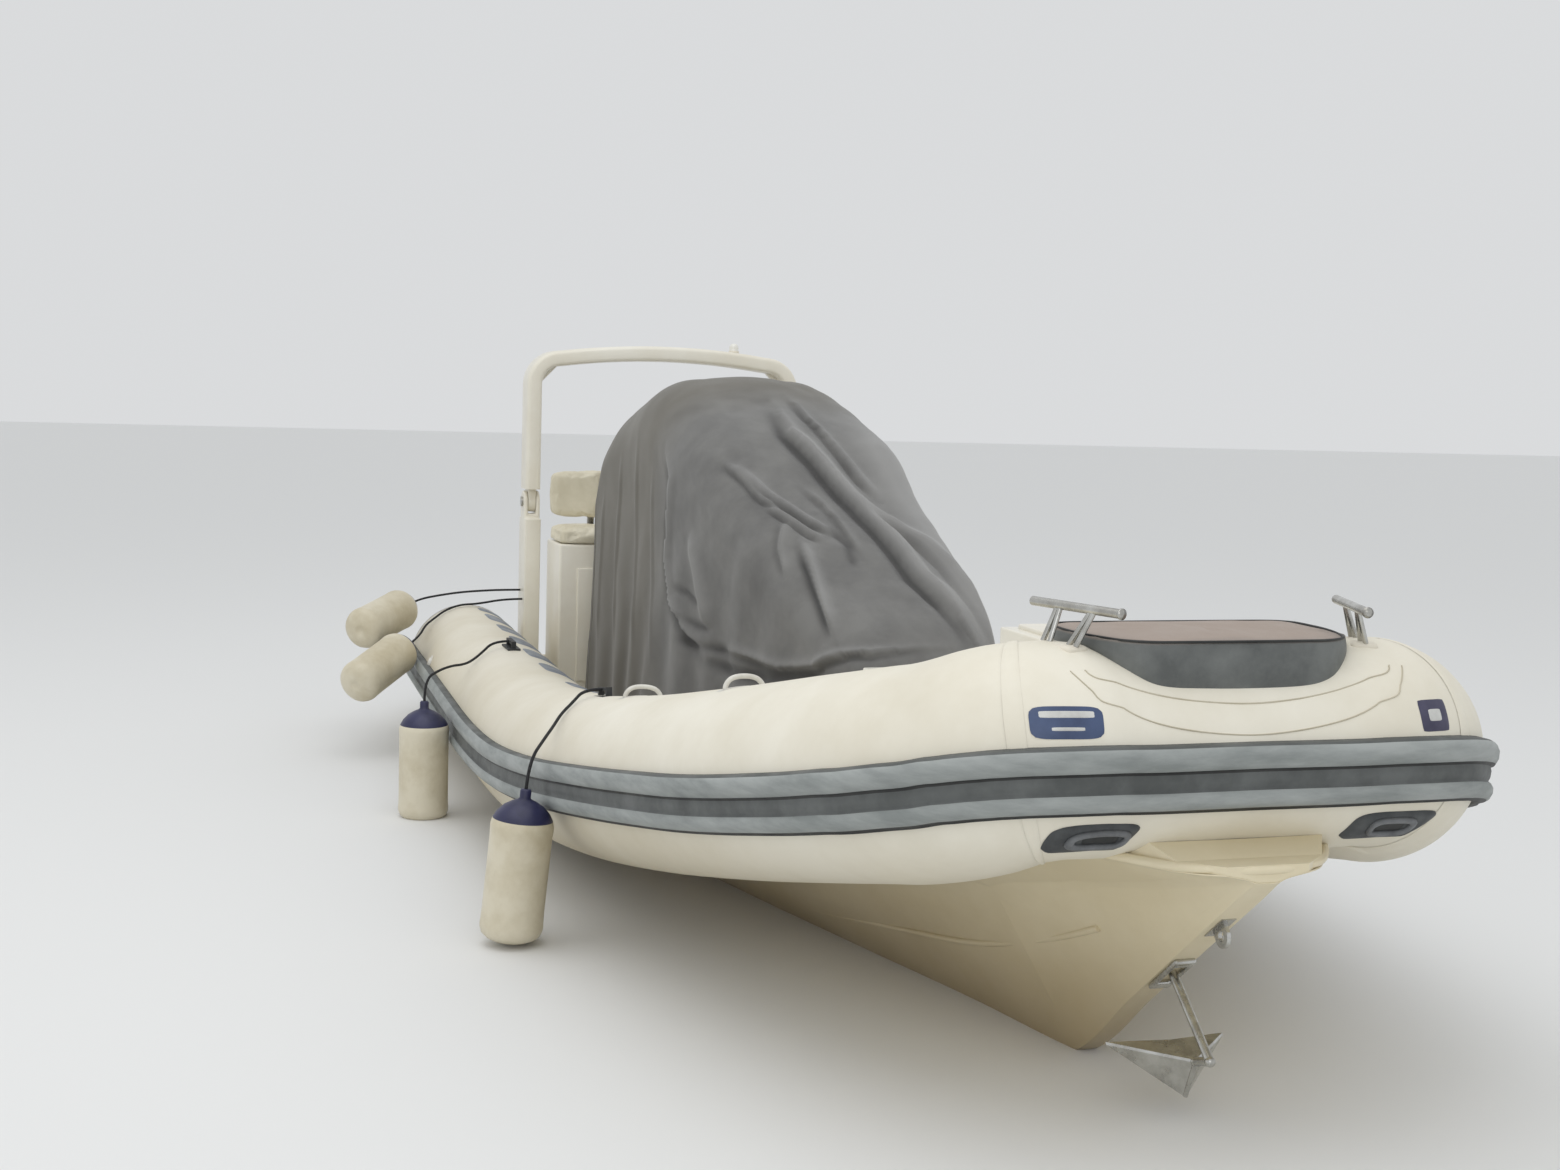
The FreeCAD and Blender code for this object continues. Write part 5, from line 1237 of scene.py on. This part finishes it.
# %% [markdown]
# ## Mooring bars
# On each side of the bow a polished bar stands on splayed legs over a moulded base. Bars are round
# beads with closed ends, and the base is a low block with rounded edges on the chamber.

# %% Mooring bars
BAR_TURN = math.radians(19)
BAR_X, BAR_Y, BAR_Z, BAR_HALF_LENGTH, FEET_OUT = 3.503, -0.418, 1.45, 0.163, 0.040


def bar_point(side, along, out, z):
    x = BAR_X + along * math.cos(BAR_TURN) - out * math.sin(BAR_TURN)
    y = BAR_Y + along * math.sin(BAR_TURN) - out * math.cos(BAR_TURN)
    return (x, -y if side > 0 else y, z)


BAR_END = [(0.0, -0.004, 0), (0.010, -0.003, 0), (0.0150, 0.0, 0), (0.0152, 0.006, 0), (0.0, 0.007, 0)]
for side, name in SIDES:
    bar = bead("mooring_bar_" + name,
               [[bar_point(side, k * BAR_HALF_LENGTH, 0, BAR_Z) for k in (-1, 1)]],
               0.0128, "stainless", kind="POLY")
    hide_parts("bitt_" + name)
    legs = []
    for s in (-1, 1):
        for spread in (0.018, -0.018):
            legs.append([bar_point(side, s * 0.062 + spread * 0.3, 0, 1.447),
                         bar_point(side, s * 0.048 + spread, FEET_OUT + spread * 0.2, 1.352)])
    bead("mooring_legs_" + name, legs, 0.0075, "stainless", kind="POLY")
    lathe("mooring_end_a_" + name, BAR_END, bar_point(side, 0.160, 0, BAR_Z),
          Vector(bar_point(side, 1, 0, 0)) - Vector(bar_point(side, 0, 0, 0)), ["stainless"], steps=24)
    base = bmesh.new()
    bmesh.ops.create_cube(base, size=1)
    bmesh.ops.scale(base, vec=(0.150, 0.076, 0.080), verts=base.verts)
    round_edges(base, base.edges[:], 0.014, 4)
    place = Vector(bar_point(side, 0, FEET_OUT, 1.314))
    bmesh.ops.transform(base, matrix=Matrix.Translation(place)
                        @ Matrix.Rotation(BAR_TURN * (1 if side < 0 else -1), 4, "Z"), verts=base.verts)
    add_piece("mooring_base_" + name, to_mesh("mooring_base", base), ["cone_rubber"], slot="stainless")
print("mooring bars made")

# %% [markdown]
# ## Small fittings
# Inflation valves and grab loops sit on the chambers, hatches with their latches on the lockers.

# %% Small fittings
VALVE = [(0.0, 0.0, 0), (0.036, 0.0, 0), (0.036, 0.003, 0), (0.026, 0.006, 0), (0.024, 0.004, 0),
         (0.022, 0.010, 0), (0.018, 0.012, 0), (0.006, 0.013, 0), (0.0, 0.0135, 0)]
for t, around, name in ((0.60, 20, "starboard"), (LAST - 0.60, 20, "port"), (10.9, 128, "bow")):
    skin = on_chamber(t, around)
    lathe("valve_" + name, VALVE, skin, on_chamber(t, around, 1.0) - skin, ["grab_white"], steps=32,
          slot="tube_fabric")
for count, (t, around) in enumerate(((3.62, 94), (4.85, 92), (15.15, 92), (16.38, 94))):
    patch("loop_foot_%d" % count, t, around, 0.07, 0.190, 0.002, "grab_white", corner=0.2)
    arch = [on_chamber(t, around + turn, h) for turn, h in
            ((-13, 0.001), (-12, 0.018), (-6, 0.036), (6, 0.036), (12, 0.018), (13, 0.001))]
    bead("loop_%d" % count, [arch], 0.0085, "grab_white")


def block(name, low, high, radius, key, body="boat", slot=None, inset=0.0):
    """A moulded box with rounded edges, its top face let in when inset is given."""
    low, high = Vector(low), Vector(high)
    bm = bmesh.new()
    bmesh.ops.create_cube(bm, size=1)
    bmesh.ops.scale(bm, vec=high - low, verts=bm.verts)
    bmesh.ops.translate(bm, vec=(low + high) / 2, verts=bm.verts)
    if inset:
        top = max(bm.faces, key=lambda f: f.calc_center_median().z)
        bmesh.ops.inset_region(bm, faces=[top], thickness=inset, depth=-0.004)
    round_edges(bm, bm.edges[:], radius)
    made = add_piece(name, to_mesh(name, bm), [key], body=body, slot=slot)
    made.data.set_sharp_from_angle(angle=math.radians(40))
    return made


BLOCKS = [
    # name, low and high corner, edge radius, finish, inset of its top
    ("step_hatch", (2.800, -0.26, 1.296), (3.180, 0.26, 1.316), 0.006, "deck_gelcoat", 0.03),
    ("step_latch", (2.815, -0.04, 1.314), (2.850, 0.04, 1.322), 0.003, "stainless", 0.0),
    ("seat_hatch", (-2.186, -0.60, 0.36), (-2.168, 0.60, 0.98), 0.006, "deck_gelcoat", 0.0),
    ("seat_latch", (-2.170, -0.05, 0.92), (-2.160, 0.05, 0.95), 0.003, "stainless", 0.0),
    ("locker_hatch", (2.542, -0.42, 0.84), (2.556, 0.42, 1.10), 0.005, "deck_gelcoat", 0.0),
]
for *row, inset in BLOCKS:
    block(*row, inset=inset)
print("small fittings made")

# %% [markdown]
# ## The outboard engine
# The cowl is a smooth lid over the powerhead, wider at its waist, with a parting line and an air
# intake. Rows of rounded sections, joined smoothly, give its form.

# %% Engine cowl


def stack(name, rows, key, body, replaces):
    """Rounded sections above each other: height, middle along X, half length, half width."""
    def place(u, v):
        z, x, long, wide = (between([row[k] for row in rows], v * (len(rows) - 1)) for k in range(4))
        q = 2 * math.pi * u
        return Vector((x + max(long, 0) * powered(math.cos(q), 0.5),
                       max(wide, 0) * powered(math.sin(q), 0.5), z))
    bm = close_ends(moved_grid(64, 60, place, weld=0.0004))
    return add_piece(name, to_mesh(name, bm), [key], body=body, replaces=replaces)


COWL = [
    # height, middle, half length, half width
    (0.437, -3.660, 0.215, 0.140), (0.470, -3.660, 0.270, 0.190), (0.540, -3.660, 0.306, 0.232),
    (0.640, -3.660, 0.322, 0.252), (0.760, -3.660, 0.324, 0.256), (0.880, -3.655, 0.312, 0.246),
    (0.970, -3.650, 0.282, 0.218), (1.030, -3.645, 0.222, 0.168), (1.058, -3.640, 0.120, 0.090),
    (1.063, -3.640, 0.001, 0.001),
]
cowl = stack("cowl_shell", COWL, "cowl_paint", "engine", ["engine_cowl"])
parting = [(-3.660 + 0.3235 * powered(math.cos(q), 0.5), 0.2545 * powered(math.sin(q), 0.5), 0.655)
           for q in [2 * math.pi * (k + 0.5) / 32 for k in range(32)]]
bead("cowl_parting", [parting], 0.004, "strake_edge", body="engine", cyclic=True)
for side, name in SIDES:
    y = side * 0.205
    block("cowl_vent_" + name, (-3.90, y - 0.02, 0.86), (-3.74, y + 0.02, 0.90), 0.008, "strake_edge",
          body="engine", slot="cowl_paint")
print("cowl", len(cowl.data.polygons))

# %% [markdown]
# ## Floor, backdrop and light
# The boat stands on a plain pale floor at its waterline. The sky of the picture is overcast, so
# one large soft lamp above and a pale world are enough, and colours come out as written.

# %% Stage
bm = bmesh.new()
bmesh.ops.create_grid(bm, x_segments=1, y_segments=1, size=60)
floor_mesh = bpy.data.meshes.new("floor")
bm.to_mesh(floor_mesh)
bm.free()
floor = bpy.data.objects.new("floor", floor_mesh)
scene.collection.objects.link(floor)
floor_finish = bpy.data.materials.new("floor_pale")
floor_finish.use_nodes = True
set_inputs(floor_finish.node_tree.nodes["Principled BSDF"], Base_Color=(0.78, 0.78, 0.77, 1),
           Roughness=0.85)
floor_mesh.materials.append(floor_finish)

world = bpy.data.worlds.new("Overcast")
scene.world = world
world.use_nodes = True
tree, link = world.node_tree, world.node_tree.links.new
tree.nodes.clear()
out = add_node(tree, "ShaderNodeOutputWorld")
seen = add_node(tree, "ShaderNodeBackground")
set_inputs(seen, Color=(0.70, 0.71, 0.72, 1), Strength=1.0)
felt = add_node(tree, "ShaderNodeBackground")
set_inputs(felt, Color=(0.96, 0.98, 1.0, 1), Strength=0.80)
path = add_node(tree, "ShaderNodeLightPath")
either = add_node(tree, "ShaderNodeMath", operation="MAXIMUM")
mix = add_node(tree, "ShaderNodeMixShader")
link(path.outputs["Is Camera Ray"], either.inputs[0])
link(path.outputs["Is Glossy Ray"], either.inputs[1])
link(either.outputs[0], mix.inputs[0])
link(felt.outputs[0], mix.inputs[1])
link(seen.outputs[0], mix.inputs[2])
link(mix.outputs[0], out.inputs["Surface"])


def lamp(name, place, target, size, power):
    data = bpy.data.lights.new(name, "AREA")
    data.size = size
    data.energy = power
    made = bpy.data.objects.new(name, data)
    made.location = place
    made.rotation_euler = (Vector(target) - Vector(place)).to_track_quat("-Z", "Y").to_euler()
    scene.collection.objects.link(made)
    return made


lamp("sky_lamp", (2.0, -2.5, 9.0), (0, 0, 0.5), 9.0, 260)
lamp("bow_lamp", (11.0, -4.0, 4.5), (2.5, 0, 0.7), 5.0, 70)
scene.view_settings.view_transform = "Standard"
print("stage ready")

# %% The ropes take their finish
for name, made in ropes.items():
    made.data.materials.append(FINISH["line_rope"])
